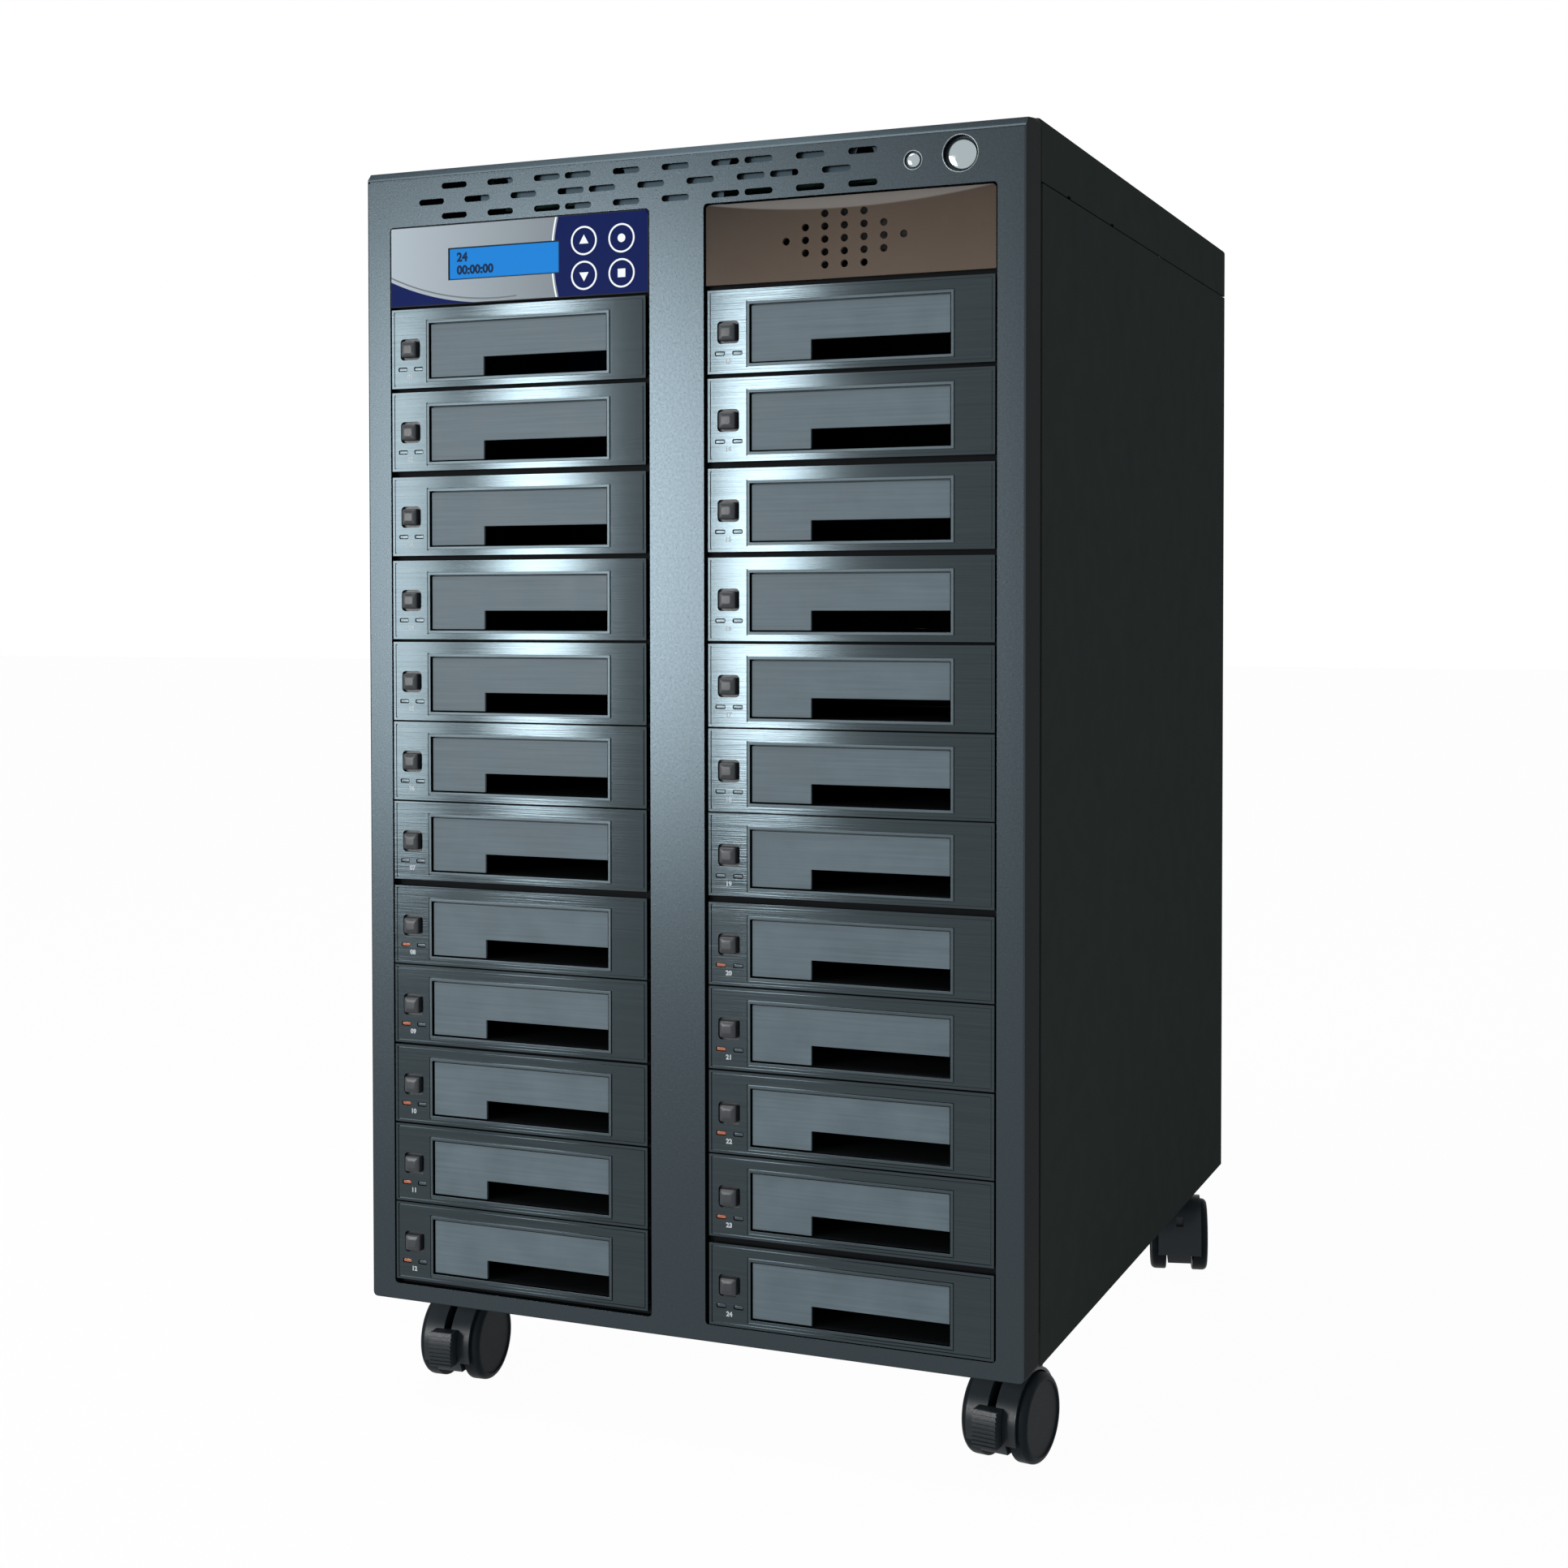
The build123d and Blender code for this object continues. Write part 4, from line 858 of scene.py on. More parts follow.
class DUPLICATOR_OT_bezel(bpy.types.Operator):
    """Front bezel with its bays, slots, lips and button collars"""
    bl_idname = "duplicator.bezel"
    bl_label = "Front bezel"

    def execute(self, context):
        sizes = context.scene.duplicator_front
        low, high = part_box("front_bezel")
        face = low.y
        back = face + sizes.depth
        wall = sizes.wall
        crease = high.z - sizes.crease_drop
        middle = (low.z + high.z) / 2
        bezel = add_box(low, (high.x, back, high.z), "front_bezel_fine")
        round_corners(bezel, sizes.top_radius, segments=8, test=lambda point: point.z > middle)
        round_corners(bezel, sizes.bottom_radius, test=lambda point: point.z < middle)
        self.slope_top(bezel, sizes, face, high.z)
        pick_edges(bezel, lambda first, second: max(first.y, second.y) < face + SAME)
        bevel_picked(sizes.edge)
        hollow = add_box((low.x + wall, face + wall, low.z + wall), (high.x - wall, back + wall, crease))
        roof = add_box(
            (low.x + 2 * wall, face + 2 * sizes.ridge_depth, crease - wall),
            (high.x - 2 * wall, back + wall, high.z - sizes.ridge_drop - wall),
        )
        cut(bezel, fuse(hollow, roof))
        self.add_lips(bezel, sizes, face, low.z)
        self.add_collars(bezel, sizes)
        self.cut_vents(bezel, sizes, face, low.z)
        under_crease = 0.3 * MM
        groove_top = crease - under_crease
        cut(bezel, add_box(
            (low.x + sizes.edge, face - OVERRUN, groove_top - sizes.groove_tall),
            (high.x - sizes.edge, face + sizes.groove_depth, groove_top),
        ))
        round_edges(bezel, width=0.4 * MM, angle=40)
        dress(bezel, "case", "bezel paint", "bezel_paint", "front_bezel")
        self.make_inner_sheet(sizes, face, low.z)
        return {"FINISHED"}

    def slope_top(self, bezel, sizes, face, top):
        """A steep slope from the crease to the ridge, and a shallow one from there to the rear edge."""
        reach = Vector((0.4, 0.02, 0.03))
        steps = (
            (0, sizes.crease_drop), (sizes.ridge_depth, sizes.ridge_drop), (sizes.depth, sizes.rear_drop),
        )
        for (near, deep), (far, shallow) in zip(steps, steps[1:]):
            corner = Vector((0, face + near, top - deep))
            wedge = add_box(corner - reach, corner + Vector((reach.x, 0, reach.z)), "wedge")
            lean = Vector((0, 1)).angle(Vector((far - near, deep - shallow)))
            turn = Matrix.Rotation(-lean, 4, "X")
            wedge.matrix_world = Matrix.Translation(corner) @ turn @ Matrix.Translation(-corner)
            cut(bezel, settle(wedge))

    def make_inner_sheet(self, sizes, face, bottom):
        """The chassis sheet that shows through the slots, with its own round holes."""
        sheet_thickness = 1 * MM
        near = face + sizes.inner_gap
        far = near + sheet_thickness
        top = bottom + sizes.vent_top + sizes.vent_width
        low = top - (1.5 * sizes.vent_row_pitch + sizes.vent_width)
        sheet = add_box((-sizes.inner_left, near, low), (sizes.inner_right, far, top), "inner_sheet")
        tab_left = -58 * MM
        tab_right = 24 * MM
        tab_drop = 9 * MM
        tab_overlap = 1 * MM
        fuse(sheet, add_box((tab_left, near, low - tab_drop), (tab_right, far, low + tab_overlap)))
        holes = []
        first_hole = 0.35
        for column in range(7):
            rows_down = 0.9 if column % 2 else 0.15
            x = -sizes.inner_left + (column + first_hole) * sizes.inner_pitch
            z = bottom + sizes.vent_top - rows_down * sizes.vent_row_pitch
            holes.append(drill((x, near, z), sizes.inner_hole, sides=24))
        cut(sheet, *holes)
        dress(sheet, "case", "chassis sheet", "zinc_sheet")

    def add_lips(self, bezel, sizes, face, bottom):
        """A lip behind the edge of each bay, and the bay itself."""
        near = face + sizes.wall / 2
        far = face + sizes.wall + sizes.lip_depth
        half = sizes.bay_width / 2
        low = bottom + sizes.bay_bottom
        high = low + sizes.bay_height
        lip = sizes.lip_wall
        for side in (-1, 1):
            middle = side * (sizes.pillar + sizes.bay_width) / 2
            left = middle - half
            right = middle + half
            fuse(bezel, add_box((left - lip, near, low - lip), (right + lip, far, high + lip)))
            bay = add_box((left, face - OVERRUN, low), (right, far + OVERRUN, high))
            cut(bezel, round_corners(bay, sizes.bay_radius))

    def add_collars(self, bezel, sizes):
        """A collar for each round button, with its recess and its bore."""
        panel = bpy.context.scene.duplicator_panel
        sunk = sizes.wall / 2
        play = 0.1 * MM
        power_deep = 3 * MM
        reset_deep = 1 * MM
        for x, z, recess, radius, depth in (
            (panel.power_x, panel.power_z, panel.power_recess, panel.power_radius, power_deep),
            (panel.reset_x, panel.reset_z, panel.reset_recess, panel.reset_radius, reset_deep),
        ):
            before = on_front(x, z, -OVERRUN)
            outer = recess + panel.collar_wall
            fuse(bezel, add_rod(on_front(x, z, sunk), "Y", panel.collar - sunk, outer, sides=64))
            cut(bezel, add_rod(before, "Y", OVERRUN + depth, recess, sides=64))
            cut(bezel, add_rod(before, "Y", 3 * OVERRUN, radius + play, sides=64))

    def cut_vents(self, bezel, sizes, face, bottom):
        """Three staggered rows of slots, with two narrower gaps in each."""
        wide = sizes.vent_length / 2
        tall = sizes.vent_width / 2
        end_radius = tall * 0.98
        reach = 5 * MM
        slots = []
        for row in range(3):
            staggered = row == 1
            x = -sizes.vent_left - (sizes.vent_pitch / 2 if staggered else 0)
            z = bottom + sizes.vent_top - row * sizes.vent_row_pitch
            short_after = (3, 7) if staggered else (2, 6)
            for column in range(10):
                slot = add_box((x - wide, face - reach, z - tall), (x + wide, face + reach, z + tall))
                slots.append(round_corners(slot, end_radius))
                x += sizes.vent_short_pitch if column in short_after else sizes.vent_pitch
        cut(bezel, *slots)


class DUPLICATOR_OT_racks(bpy.types.Operator):
    """Rack faces with their rims, lamps, numbers and eject buttons"""
    bl_idname = "duplicator.racks"
    bl_label = "Drive racks"

    def execute(self, context):
        sizes = context.scene.duplicator_racks
        columns = {side: rack_corners(side) for side in SIDES}
        corners = columns["left"] + columns["right"]
        faces = repeat(self.make_face(sizes), corners, "rack_faces_fine")
        dress(faces, "case", "brushed face", "brushed_face", "rack_faces")
        rims = repeat(self.make_rim(sizes), corners, "mouth_rims")
        dress(rims, "case", "bright rim", "brushed_face")
        self.make_lamps(sizes, columns)
        for side, places in columns.items():
            body = f"eject_buttons_{side}"
            caps = repeat(self.make_button(sizes), places, f"eject_caps_{side}")
            dress(caps, body, "button grey", "button_grey", body)
        self.make_numbers(sizes, columns)
        self.make_shades(sizes, columns)
        # The rack trays are painted near black as the shade deep inside the mouths.
        paint_node("rack_trays", "dark well")
        paint_node("rack_backplanes", "black plastic")
        return {"FINISHED"}

    def make_shades(self, sizes, columns):
        """The fronts of the rack housings behind the gaps between the faces, painted near black as painted
        shade in those gaps.
        """
        thick = 1 * MM
        near = front() + 4.5 * MM
        far = near + thick
        wider = 1.3 * MM
        outward = 2 * MM
        inward = 2.2 * MM
        over_mouth = 3 * MM
        past_pitch = 1.5 * MM
        pitch = columns["left"][0].z - columns["left"][1].z
        foot = sizes.mouth_bottom + sizes.mouth_height + over_mouth
        bars = []
        for places in columns.values():
            left = places[0].x - wider
            right = left + sizes.face_width + 2 * wider
            for place in (*places, places[-1] - Vector((0, 0, pitch))):
                top = place.z + pitch + past_pitch
                bars.append(add_box((left, near, place.z + foot), (right, far, top)))
            top = places[0].z + sizes.face_height
            for start, end in ((left - outward, left + inward), (right - inward, right + outward)):
                bars.append(add_box((start, far, places[-1].z), (end, far + thick, top)))
        # Near-black bars: painted shade in the gaps round the rack faces.
        dress(join(bars, "housing_fronts_painted_shade"), "case", "dark well", "black_plastic")

    def mouth(self, sizes):
        """A tool that cuts the mouth."""
        return opening(sizes.mouth_left, sizes.mouth_bottom, sizes.mouth_width, sizes.mouth_height)

    def make_face(self, sizes):
        """A plate with its mouth, eject hole and lamp windows."""
        plate = add_box((0, 0, 0), (sizes.face_width, sizes.face_sheet, sizes.face_height), "rack_face")
        tools = [self.mouth(sizes)]
        hole = opening(sizes.eject_left, sizes.eject_bottom, sizes.eject_width, sizes.eject_height)
        tools.append(round_corners(hole, radius=2 * MM))
        for index in range(2):
            x = sizes.lamp_left + index * sizes.lamp_pitch
            window = opening(x, sizes.lamp_bottom, sizes.lamp_width, sizes.lamp_height)
            tools.append(round_corners(window, radius=0.7 * MM, segments=3))
        cut(plate, *tools)
        cut_groove(
            plate, sizes, sizes.mouth_left, sizes.mouth_bottom, sizes.mouth_width, sizes.mouth_height,
            out=sizes.rim_width + sizes.groove_width,
        )
        cut_groove(plate, sizes, 0, 0, sizes.face_width, sizes.face_height, out=-sizes.groove_inset)
        return round_edges(plate, width=0.25 * MM)

    def make_rim(self, sizes):
        """The proud frame round the mouth."""
        left = sizes.mouth_left
        low = sizes.mouth_bottom
        wide = sizes.rim_width
        sunk = 0.1 * MM
        rim = add_box(
            (left - wide, -sizes.rim_proud, low - wide),
            (left + sizes.mouth_width + wide, sunk, low + sizes.mouth_height + wide), "mouth_rim",
        )
        cut(rim, self.mouth(sizes))
        return round_edges(rim, width=0.15 * MM)

    def make_lamps(self, sizes, columns):
        """Lens blocks in the lamp windows, the left one amber in the lower racks."""
        inset = sizes.lamp_inset
        near = 0.3 * MM
        far = 3 * MM
        right = sizes.lamp_width - inset
        high = sizes.lamp_height - inset
        lens = add_box((inset, near, inset), (right, far, high), "lens")
        round_corners(lens, radius=0.5 * MM, segments=3)
        round_edges(lens, width=0.2 * MM)
        clear = []
        ambers = []
        for places in columns.values():
            for number, corner in enumerate(places, 1):
                for index in range(2):
                    last = number == RACKS and corner.x > 0
                    amber = number >= sizes.first_amber and index == 0 and not last
                    across = sizes.lamp_left + index * sizes.lamp_pitch
                    lamp = copy_to(lens, corner + Vector((across, 0, sizes.lamp_bottom)))
                    (ambers if amber else clear).append(lamp)
        bpy.data.objects.remove(lens, do_unlink=True)
        dress(join(clear, "lamps_clear"), "case", "lamp clear", "lamp_clear", "rack_lamps")
        dress(join(ambers, "lamps_amber"), "case", "lamp amber", "lamp_clear")

    def make_button(self, sizes):
        """A square eject cap with a crowned front and a stop flange."""
        gap = sizes.eject_gap
        left = sizes.eject_left
        low = sizes.eject_bottom
        right = left + sizes.eject_width
        high = low + sizes.eject_height
        crown_height = 0.9 * MM
        near = crown_height - sizes.eject_proud
        far = 2 * MM
        cap = add_box((left + gap, near, low + gap), (right - gap, far, high - gap), "eject_cap")
        crown(cap, ((1.3 * MM, 0.6 * MM), (1.2 * MM, 0.25 * MM)))
        round_edges(cap, width=0.9 * MM, segments=3, angle=12)
        stop = 0.8 * MM
        flange_near = 1.9 * MM
        flange_far = 2.9 * MM
        flange = add_box((left - stop, flange_near, low - stop), (right + stop, flange_far, high + stop))
        return join([cap, flange])

    def make_numbers(self, sizes, columns):
        """Plain bay numbers under the lamps."""
        texts = []
        from_left = 10.8 * MM
        from_bottom = 5 * MM
        step = Vector((from_left, -PRINT_LIFT, from_bottom))
        for number, corner in enumerate(columns["left"] + columns["right"], 1):
            texts.append(add_text(f"{number:02d}", sizes.number_height, corner + step))
        dress(join(texts, "bay_numbers"), "case", "grey print", "bezel_paint")


class DUPLICATOR_OT_flaps(bpy.types.Operator):
    """Dust flaps with their notches and hinge rods"""
    bl_idname = "duplicator.flaps"
    bl_label = "Dust flaps"

    def execute(self, context):
        prototype = self.make_flap(context.scene.duplicator_racks)
        for side in SIDES:
            for number, corner in enumerate(rack_corners(side), 1):
                name = f"flap_{side}_{number:02d}"
                flap = copy_to(prototype, corner)
                flap.name = name + "_fine"
                dress(flap, name, "flap lacquer", "flap_grey", name)
        bpy.data.objects.remove(prototype, do_unlink=True)
        return {"FINISHED"}

    def make_flap(self, sizes):
        """A notched sheet, the rod that it hangs from and the slanting web between them."""
        gap = sizes.flap_gap + sizes.flap_relief
        mouth_top = sizes.mouth_bottom + sizes.mouth_height
        left = sizes.mouth_left + gap
        right = sizes.mouth_left + sizes.mouth_width - gap
        high = mouth_top - gap
        near = sizes.flap_recess
        far = near + sizes.flap_sheet
        flap = add_box((left, near, sizes.mouth_bottom + gap), (right, far, high), "flap")
        notch_top = sizes.mouth_bottom + sizes.notch_height
        cut(flap, add_box((right - sizes.notch_width, 0, 0), (right + OVERRUN, OVERRUN, notch_top)))
        round_edges(flap, width=0.3 * MM)
        reach = sizes.pin_reach + sizes.flap_relief
        end = (left - reach, sizes.hinge_depth, mouth_top + sizes.hinge_rise)
        rod = add_rod(end, "X", right - left + 2 * reach, sizes.rod_radius, sides=16)
        web_sunk = 0.6 * MM
        web_drop = 2.6 * MM
        web_proud = 0.4 * MM
        web = add_box((left, far - web_sunk, high - web_drop), (right, far + web_proud, high + web_proud))
        lean = 0.6 * MM
        lift = 0.3 * MM
        pick_faces(web, lambda middle, normal: normal.z > 0.9)
        bpy.ops.transform.translate(value=(0, lean, lift))
        leave_edit()
        return join([flap, rod, web])


class DUPLICATOR_OT_panel(bpy.types.Operator):
    """Control panel, display, cover plate and the two round buttons"""
    bl_idname = "duplicator.panel"
    bl_label = "Control panel and plate"

    def execute(self, context):
        sizes = context.scene.duplicator_panel
        dress_copy("control_panel", "panel film", "panel_print")
        paint_node("display", "display glow")
        self.make_digits(sizes)
        self.make_keys(sizes)
        self.make_plate(sizes)
        power = (sizes.power_x, sizes.power_z)
        reset = (sizes.reset_x, sizes.reset_z)
        power_sunk = 2.4 * MM
        reset_sunk = 0.4 * MM
        self.make_button("power_button", *power, sizes.power_radius, power_sunk, sizes.collar)
        self.make_button("reset_button", *reset, sizes.reset_radius, reset_sunk, sizes.collar)
        self.make_ring("power_ring", *power, sizes.power_recess)
        self.make_ring("reset_ring", *reset, sizes.reset_recess)
        return {"FINISHED"}

    def make_digits(self, sizes):
        """Two rows of plain digits on the display."""
        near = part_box("display")[0].y - PRINT_LIFT
        left = -sizes.window_x - sizes.window_width / 2 + sizes.digit_left
        over_middle = 1.2 * MM
        upper = floor_gap() + sizes.window_z + over_middle
        rows = [
            add_text(body, sizes.digit_height, Vector((left, near, upper - drop)), "LEFT")
            for body, drop in (("24", 0), ("00:00:00", sizes.digit_rows))
        ]
        dress(join(rows, "display_digits"), "case", "display ink", "panel_print")

    def make_keys(self, sizes):
        """Ring outlines of the four keys, two arrows, a dot and a square."""
        marks = []
        thick = sizes.print_thickness
        for x in (-sizes.key_left, -sizes.key_right):
            for z in (sizes.key_high, sizes.key_low):
                ring = add_rod(on_front(x, z, -thick), "Y", 2 * thick, sizes.key_radius, sides=64)
                marks.append(cut(ring, drill(on_front(x, z), sizes.key_radius - sizes.key_ring)))
        arrow_radius = 3 * MM
        for z, turn in ((sizes.key_high, 180), (sizes.key_low, 0)):
            arrow = add_rod((0, -thick, 0), "Y", 2 * thick, arrow_radius, sides=3)
            place = Matrix.Translation(on_front(-sizes.key_left, z))
            arrow.matrix_world = place @ Matrix.Rotation(radians(turn), 4, "Y")
            marks.append(settle(arrow))
        dot_radius = 2.1 * MM
        half = Vector((dot_radius, thick, dot_radius))
        dot = on_front(-sizes.key_right, sizes.key_high, -thick)
        marks.append(add_rod(dot, "Y", 2 * thick, dot_radius, sides=32))
        square = on_front(-sizes.key_right, sizes.key_low)
        marks.append(add_box(square - half, square + half))
        dress(join(marks, "key_marks"), "case", "white print", "panel_print")

    def make_plate(self, sizes):
        """Glossy plate with its hexagon of round holes, and the folds behind it."""
        low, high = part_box("cover_plate")
        middle = (low.z + high.z) / 2
        sheet = 2 * MM
        face = front() + sizes.plate_recess
        left = low.x + sizes.plate_relief
        right = high.x - sizes.plate_relief
        top = high.z - sizes.plate_relief
        plate = add_box((left, face, low.z), (right, face + sheet, top), "cover_plate_fine")
        round_corners(plate, radius=2 * MM, test=lambda point: point.z > middle)
        holes = []
        for row, count in enumerate((3, 5, 7, 5, 3)):
            z = sizes.holes_z + (row - 2) * sizes.hole_pitch_z
            for column in range(count):
                x = sizes.holes_x + (column - (count - 1) / 2) * sizes.hole_pitch_x
                holes.append(drill(on_front(x, z, sizes.plate_recess), sizes.hole_radius, sides=20))
        cut(plate, *holes)
        round_edges(plate, width=0.25 * MM)
        margin = 3 * MM
        fold = 1 * MM
        tabs = [
            add_box((x, face + sheet / 2, low.z + margin), (x + fold, high.y, high.z - margin))
            for x in (left, right - fold)
        ]
        join([plate, *tabs])
        dress(plate, "case", "brown plate", "plate_brown", "cover_plate")

    def make_button(self, name, x, z, radius, sunk, collar):
        """A domed chrome button, sunk that far to the dome's foot, with its stop flange."""
        play = 0.3 * MM
        flange = 1.2 * MM
        behind = collar + play
        button = add_rod(on_front(x, z, sunk), "Y", behind - sunk, radius, sides=64, name=name + "_fine")
        dome = ((0.08, 0.42), (0.16, 0.3), (0.24, 0.2), (0.3, 0.08))
        crown(button, [(radius * inward, upward * MM) for inward, upward in dome])
        join([button, add_rod(on_front(x, z, behind), "Y", flange, radius + flange)])
        dress(button, name, "chrome", "button_chrome", name)

    def make_ring(self, name, x, z, radius):
        """A bright ring let into the recess's edge."""
        proud = 0.2 * MM
        deep = 1.2 * MM
        wide = 0.5 * MM
        ring = add_rod(on_front(x, z, -proud), "Y", deep, radius, sides=64, name=name)
        cut(ring, drill(on_front(x, z), radius - wide))
        round_edges(ring, width=0.2 * MM)
        dress(ring, "case", "ring steel", "brushed_face")


class DUPLICATOR_OT_covers(bpy.types.Operator):
    """Covers, base tray, cage and what stands at the back"""
    bl_idname = "duplicator.covers"
    bl_label = "Covers and back"

    def execute(self, context):
        for node in ("top_cover", "side_panel_left", "side_panel_right", "rear_panel"):
            dress_copy(node, "cover paint", "cover_paint")
        for node in ("base_tray", "bay_cage"):
            dress_copy(node, "zinc sheet", "zinc_sheet", width=0.2 * MM)
        dress_copy("power_supply", "zinc sheet", "zinc_sheet", width=0.4 * MM)
        paint_node("control_board", "board green")
        dress_copy("mains_inlet", "black plastic", "switch_black", width=0.4 * MM)
        dress_copy("mains_switch", "button grey", "switch_black", "mains_switch", width=0.4 * MM)
        dress_copy("fan_frame", "black plastic", "black_plastic", width=0.4 * MM)
        dress_copy("fan_rotor", "black plastic", "black_plastic", "fan_rotor")
        dress_copy("case_screws", "screw steel", "screw_steel", width=0.4 * MM)
        return {"FINISHED"}


class DUPLICATOR_OT_casters(bpy.types.Operator):
    """Casters: plates and stems, hoods, twin wheels and brake pedals"""
    bl_idname = "duplicator.casters"
    bl_label = "Casters"

    def execute(self, context):
        dress_copy("caster_plates", "zinc sheet", "zinc_sheet")
        wheels = self.make_wheels(context.scene.duplicator_casters)
        for corner in CORNERS:
            body = f"caster_wheels_{corner}"
            pair = copy_to(wheels, self.place_of(corner))
            pair.name = body + "_fine"
            dress(pair, body, "wheel plastic", "black_plastic", body)
            body = f"caster_hood_{corner}"
            dress_copy(body, "hood plastic", "black_plastic", body, width=0.4 * MM, angle=25)
            if corner.startswith("front"):
                body = f"brake_pedal_{corner}"
                dress_copy(body, "hood plastic", "black_plastic", body, angle=25)
        bpy.data.objects.remove(wheels, do_unlink=True)
        return {"FINISHED"}

    def place_of(self, corner):
        """The matrix that puts a caster drawn at the origin at that corner."""
        joints = {joint["name"]: joint for joint in frame["joints"]}
        x, y, _ = joints[f"swivel_{corner}"]["pos_m"]
        axle = Vector(joints[f"roll_{corner}"]["axis"]).normalized()
        return Matrix((
            (axle.x, -axle.y, 0, x), (axle.y, axle.x, 0, y), (0, 0, 1, 0), (0, 0, 0, 1)
        ))

    def make_wheels(self, sizes):
        """Twin wheels on their axle, drawn with the stem's axis at the origin."""
        def rim_at(x):
            return lambda first, second: max(abs(first.x - x), abs(second.x - x)) < SAME

        parts = []
        centre = Vector((0, -sizes.lead, sizes.wheel_radius))
        width = sizes.wheel_outer - sizes.wheel_inner
        disc_edge = 0.2 * MM
        disc_slope = 0.6 * MM
        disc_sunk = 0.8 * MM
        for side in (-1, 1):
            inner = Vector((side * sizes.wheel_inner, 0, 0))
            wheel = add_rod(centre + inner, "X", side * width, sizes.wheel_radius, sides=96)
            pick_edges(wheel, rim_at(inner.x + side * width))
            bevel_picked(sizes.wheel_radius - sizes.disc_radius, segments=5)
            pick_faces(wheel, lambda middle, normal: normal.x * side > 0.99)
            bpy.ops.mesh.inset(thickness=disc_edge, depth=0)
            bpy.ops.mesh.inset(thickness=disc_slope, depth=-disc_sunk)
            leave_edit()
            pick_edges(wheel, rim_at(inner.x))
            bevel_picked(width=1 * MM)
            parts.append(wheel)
        axle = centre - Vector((sizes.wheel_inner, 0, 0))
        axle_radius = 2.95 * MM
        parts.append(add_rod(axle, "X", 2 * sizes.wheel_inner, axle_radius, sides=24))
        return join(parts, "wheel_pair")


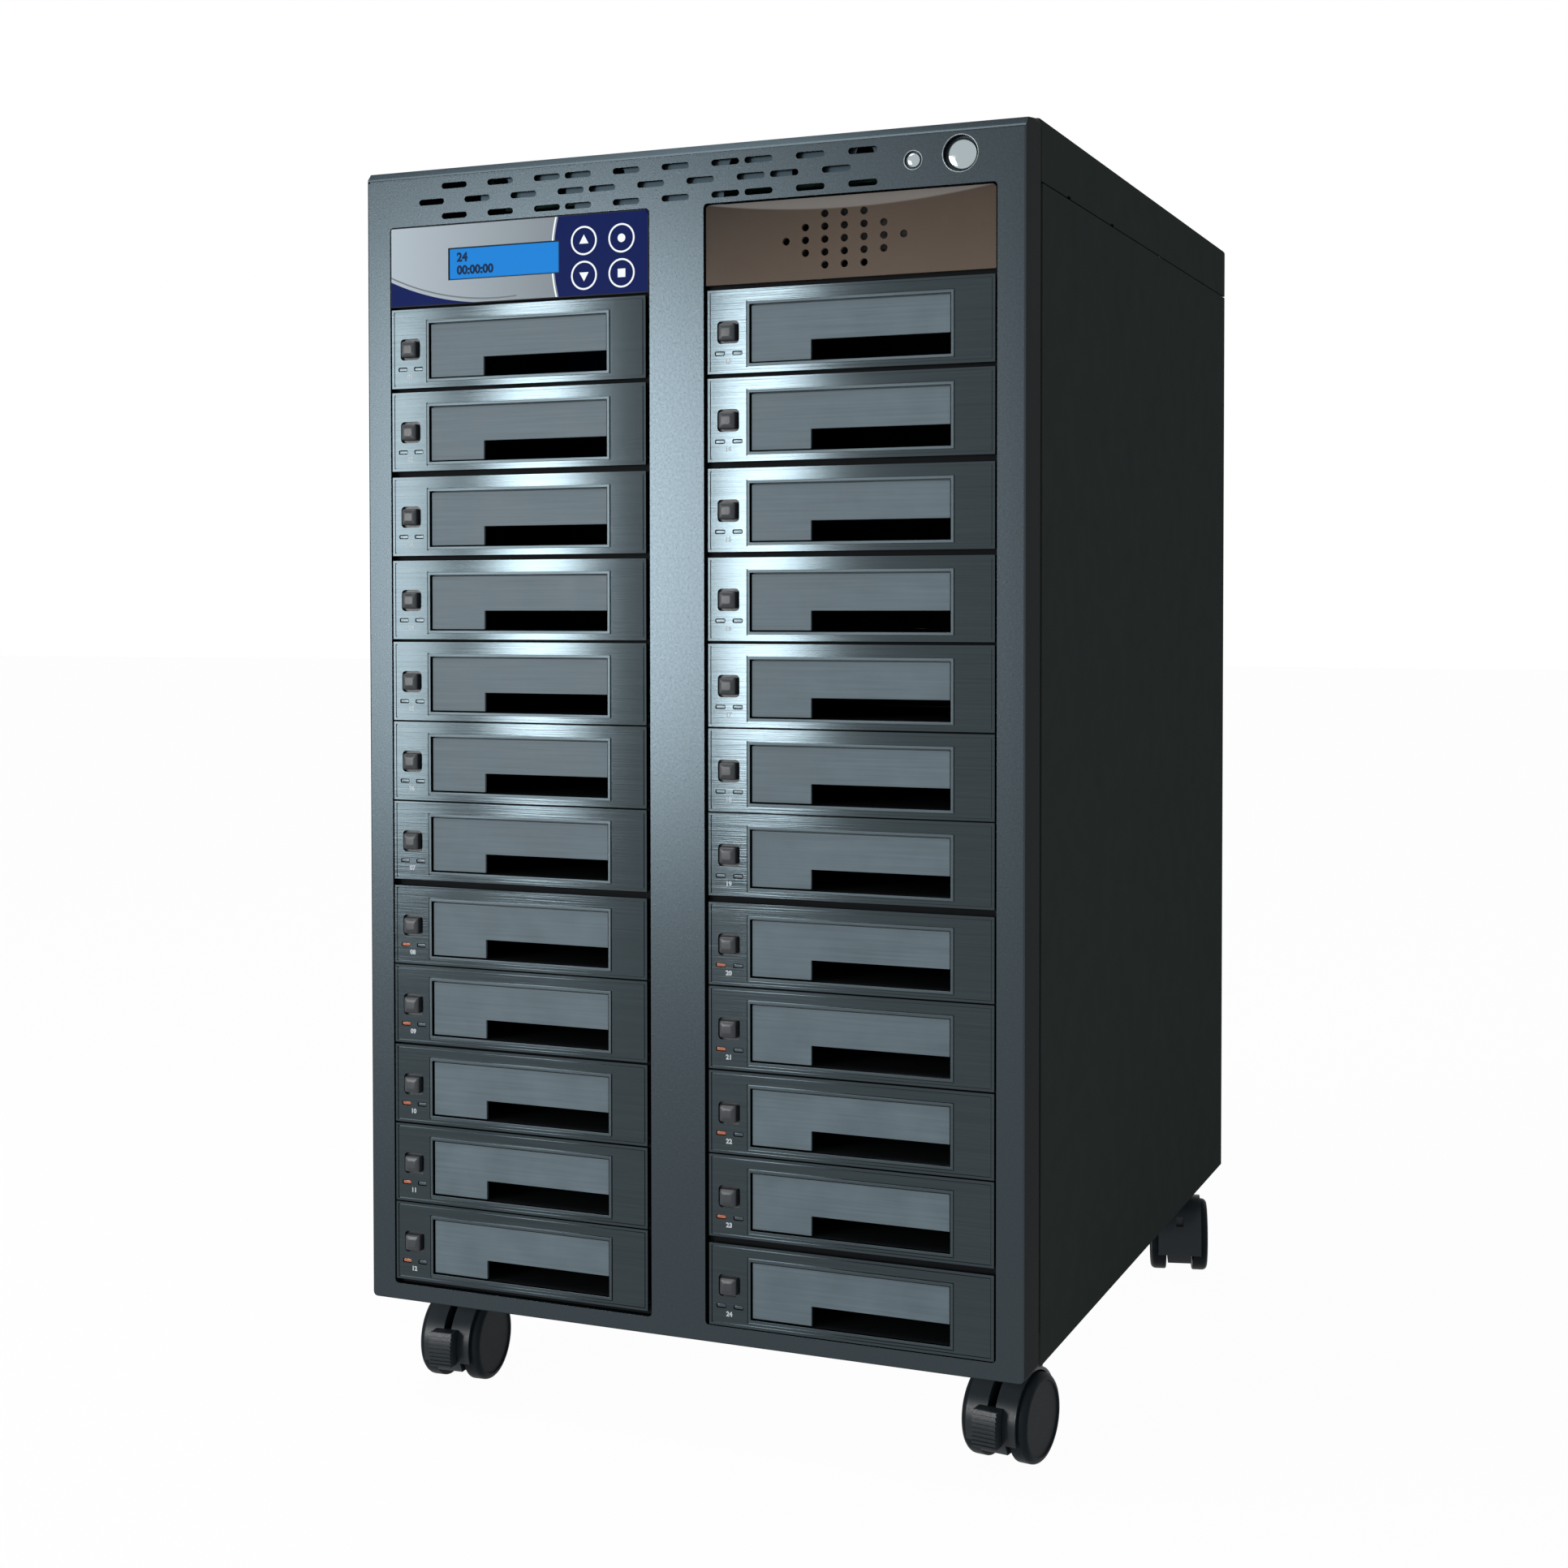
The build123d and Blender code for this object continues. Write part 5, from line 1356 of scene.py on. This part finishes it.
class DUPLICATOR_OT_stage(bpy.types.Operator):
    """Floor, lights and camera"""
    bl_idname = "duplicator.stage"
    bl_label = "Stage"

    def execute(self, context):
        deselect()
        bpy.ops.mesh.primitive_plane_add(size=30, location=(0, 0, 0))
        floor = context.active_object
        floor.name = "studio_floor"
        floor.data.materials.append(self.pale_floor())
        self.light_world(context)
        front_middle = (0, -0.22, 0.42)
        upper_front = (0, -0.22, 0.6)
        self.add_lamp("key", (-1.16, -2.33, 0.55), front_middle, width=0.38, height=0.8, watts=27)
        self.add_lamp("side", (-1.77, -1.95, 0.53), front_middle, width=0.38, height=0.95, watts=13)
        self.add_lamp("top", (-0.58, -0.61, 1.86), upper_front, width=0.9, height=0.8, watts=12)
        self.aim_camera(context)
        context.scene.view_settings.view_transform = "Standard"
        return {"FINISHED"}

    def pale_floor(self):
        """A matt pale floor that the camera sees as white."""
        material = bpy.data.materials.new("pale floor")
        material.use_nodes = True
        tree = material.node_tree
        shader = tree.nodes["Principled BSDF"]
        shader.inputs["Base Color"].default_value = (0.9, 0.9, 0.9, 1)
        shader.inputs["Roughness"].default_value = 0.9
        white = tree.nodes.new("ShaderNodeEmission")
        white.inputs["Strength"].default_value = 1.0
        whiteness = 0.97
        share = tree.nodes.new("ShaderNodeMath")
        share.operation = "MULTIPLY"
        share.inputs[1].default_value = whiteness
        tree.links.new(self.seen_rays(tree), share.inputs[0])
        surface = tree.nodes["Material Output"].inputs["Surface"]
        shaders = (shader.outputs["BSDF"], white.outputs["Emission"])
        self.choose(tree, share.outputs["Value"], *shaders, surface)
        return material

    def choose(self, tree, share, first, second, surface):
        """Sends a mix of two shaders to the surface, the share being that of the second."""
        choice = tree.nodes.new("ShaderNodeMixShader")
        for socket, source in zip(choice.inputs, (share, first, second)):
            tree.links.new(source, socket)
        tree.links.new(choice.outputs["Shader"], surface)

    def seen_rays(self, tree):
        """One for rays that see the background straight, in a reflection or through glass."""
        path = tree.nodes.new("ShaderNodeLightPath")
        total = path.outputs["Is Camera Ray"]
        for name in ("Is Glossy Ray", "Is Transmission Ray"):
            either = tree.nodes.new("ShaderNodeMath")
            either.operation = "MAXIMUM"
            tree.links.new(total, either.inputs[0])
            tree.links.new(path.outputs[name], either.inputs[1])
            total = either.outputs["Value"]
        return total

    def light_world(self, context):
        """Soft cool light from all round, seen as plain white."""
        world = bpy.data.worlds.new("studio")
        world.use_nodes = True
        context.scene.world = world
        tree = world.node_tree
        ambient = tree.nodes["Background"]
        ambient.inputs["Color"].default_value = (0.9, 0.95, 1.0, 1)
        ambient.inputs["Strength"].default_value = 0.45
        seen = tree.nodes.new("ShaderNodeBackground")
        seen.inputs["Color"].default_value = (1, 1, 1, 1)
        seen.inputs["Strength"].default_value = 1.0
        surface = tree.nodes["World Output"].inputs["Surface"]
        backgrounds = (ambient.outputs["Background"], seen.outputs["Background"])
        self.choose(tree, self.seen_rays(tree), *backgrounds, surface)

    def add_lamp(self, name, place, target, width, height, watts):
        """A rectangular lamp at that place, turned to the target."""
        direction = Vector(target) - Vector(place)
        turn = direction.to_track_quat("-Z", "Y").to_euler()
        bpy.ops.object.light_add(type="AREA", location=place, rotation=turn)
        lamp = bpy.context.active_object
        lamp.name = name
        lamp.data.shape = "RECTANGLE"
        lamp.data.size = width
        lamp.data.size_y = height
        lamp.data.energy = watts

    def aim_camera(self, context):
        """The photograph's camera, solved from the corners of the bays."""
        right = (0.922675, 0.385579, -0.000868)
        upward = (-0.008637, 0.022919, 0.999700)
        backward = (0.385483, -0.922390, 0.024477)
        turn = Matrix((right, upward, backward)).transposed().to_euler()
        bpy.ops.object.camera_add(location=(0.47193, -1.21683, 0.41858), rotation=turn)
        camera = context.active_object
        camera.name = "photo_camera"
        camera.data.sensor_width = 36
        camera.data.lens = 51.14
        camera.data.shift_y = -0.0765
        context.scene.camera = camera


class DUPLICATOR_PT_panel(bpy.types.Panel):
    """The sidebar list of the duplicator's pieces"""
    bl_idname = "DUPLICATOR_PT_panel"
    bl_label = "Duplicator"
    bl_space_type = "VIEW_3D"
    bl_region_type = "UI"
    bl_category = "Duplicator"

    def draw(self, context):
        for operator in OPERATORS:
            self.layout.operator(operator.bl_idname)


OPERATORS = (
    DUPLICATOR_OT_bezel, DUPLICATOR_OT_racks, DUPLICATOR_OT_flaps, DUPLICATOR_OT_panel,
    DUPLICATOR_OT_covers, DUPLICATOR_OT_casters, DUPLICATOR_OT_stage,
)
GROUPS = {
    "duplicator_racks": RackSizes,
    "duplicator_front": FrontSizes,
    "duplicator_panel": PanelSizes,
    "duplicator_casters": CasterSizes,
    "duplicator_colours": FinishColours,
}


def register():
    for group in GROUPS.values():
        bpy.utils.register_class(group)
    for name, group in GROUPS.items():
        setattr(bpy.types.Scene, name, PointerProperty(type=group))
    for item in (*OPERATORS, DUPLICATOR_PT_panel):
        bpy.utils.register_class(item)


def unregister():
    for item in (*OPERATORS, DUPLICATOR_PT_panel):
        bpy.utils.unregister_class(item)
    for name in GROUPS:
        delattr(bpy.types.Scene, name)
    for group in GROUPS.values():
        bpy.utils.unregister_class(group)


def main():
    register()
    bpy.ops.duplicator.bezel()
    bpy.ops.duplicator.racks()
    bpy.ops.duplicator.flaps()
    bpy.ops.duplicator.panel()
    bpy.ops.duplicator.covers()
    bpy.ops.duplicator.casters()
    bpy.ops.duplicator.stage()


if __name__ == "__main__":
    main()
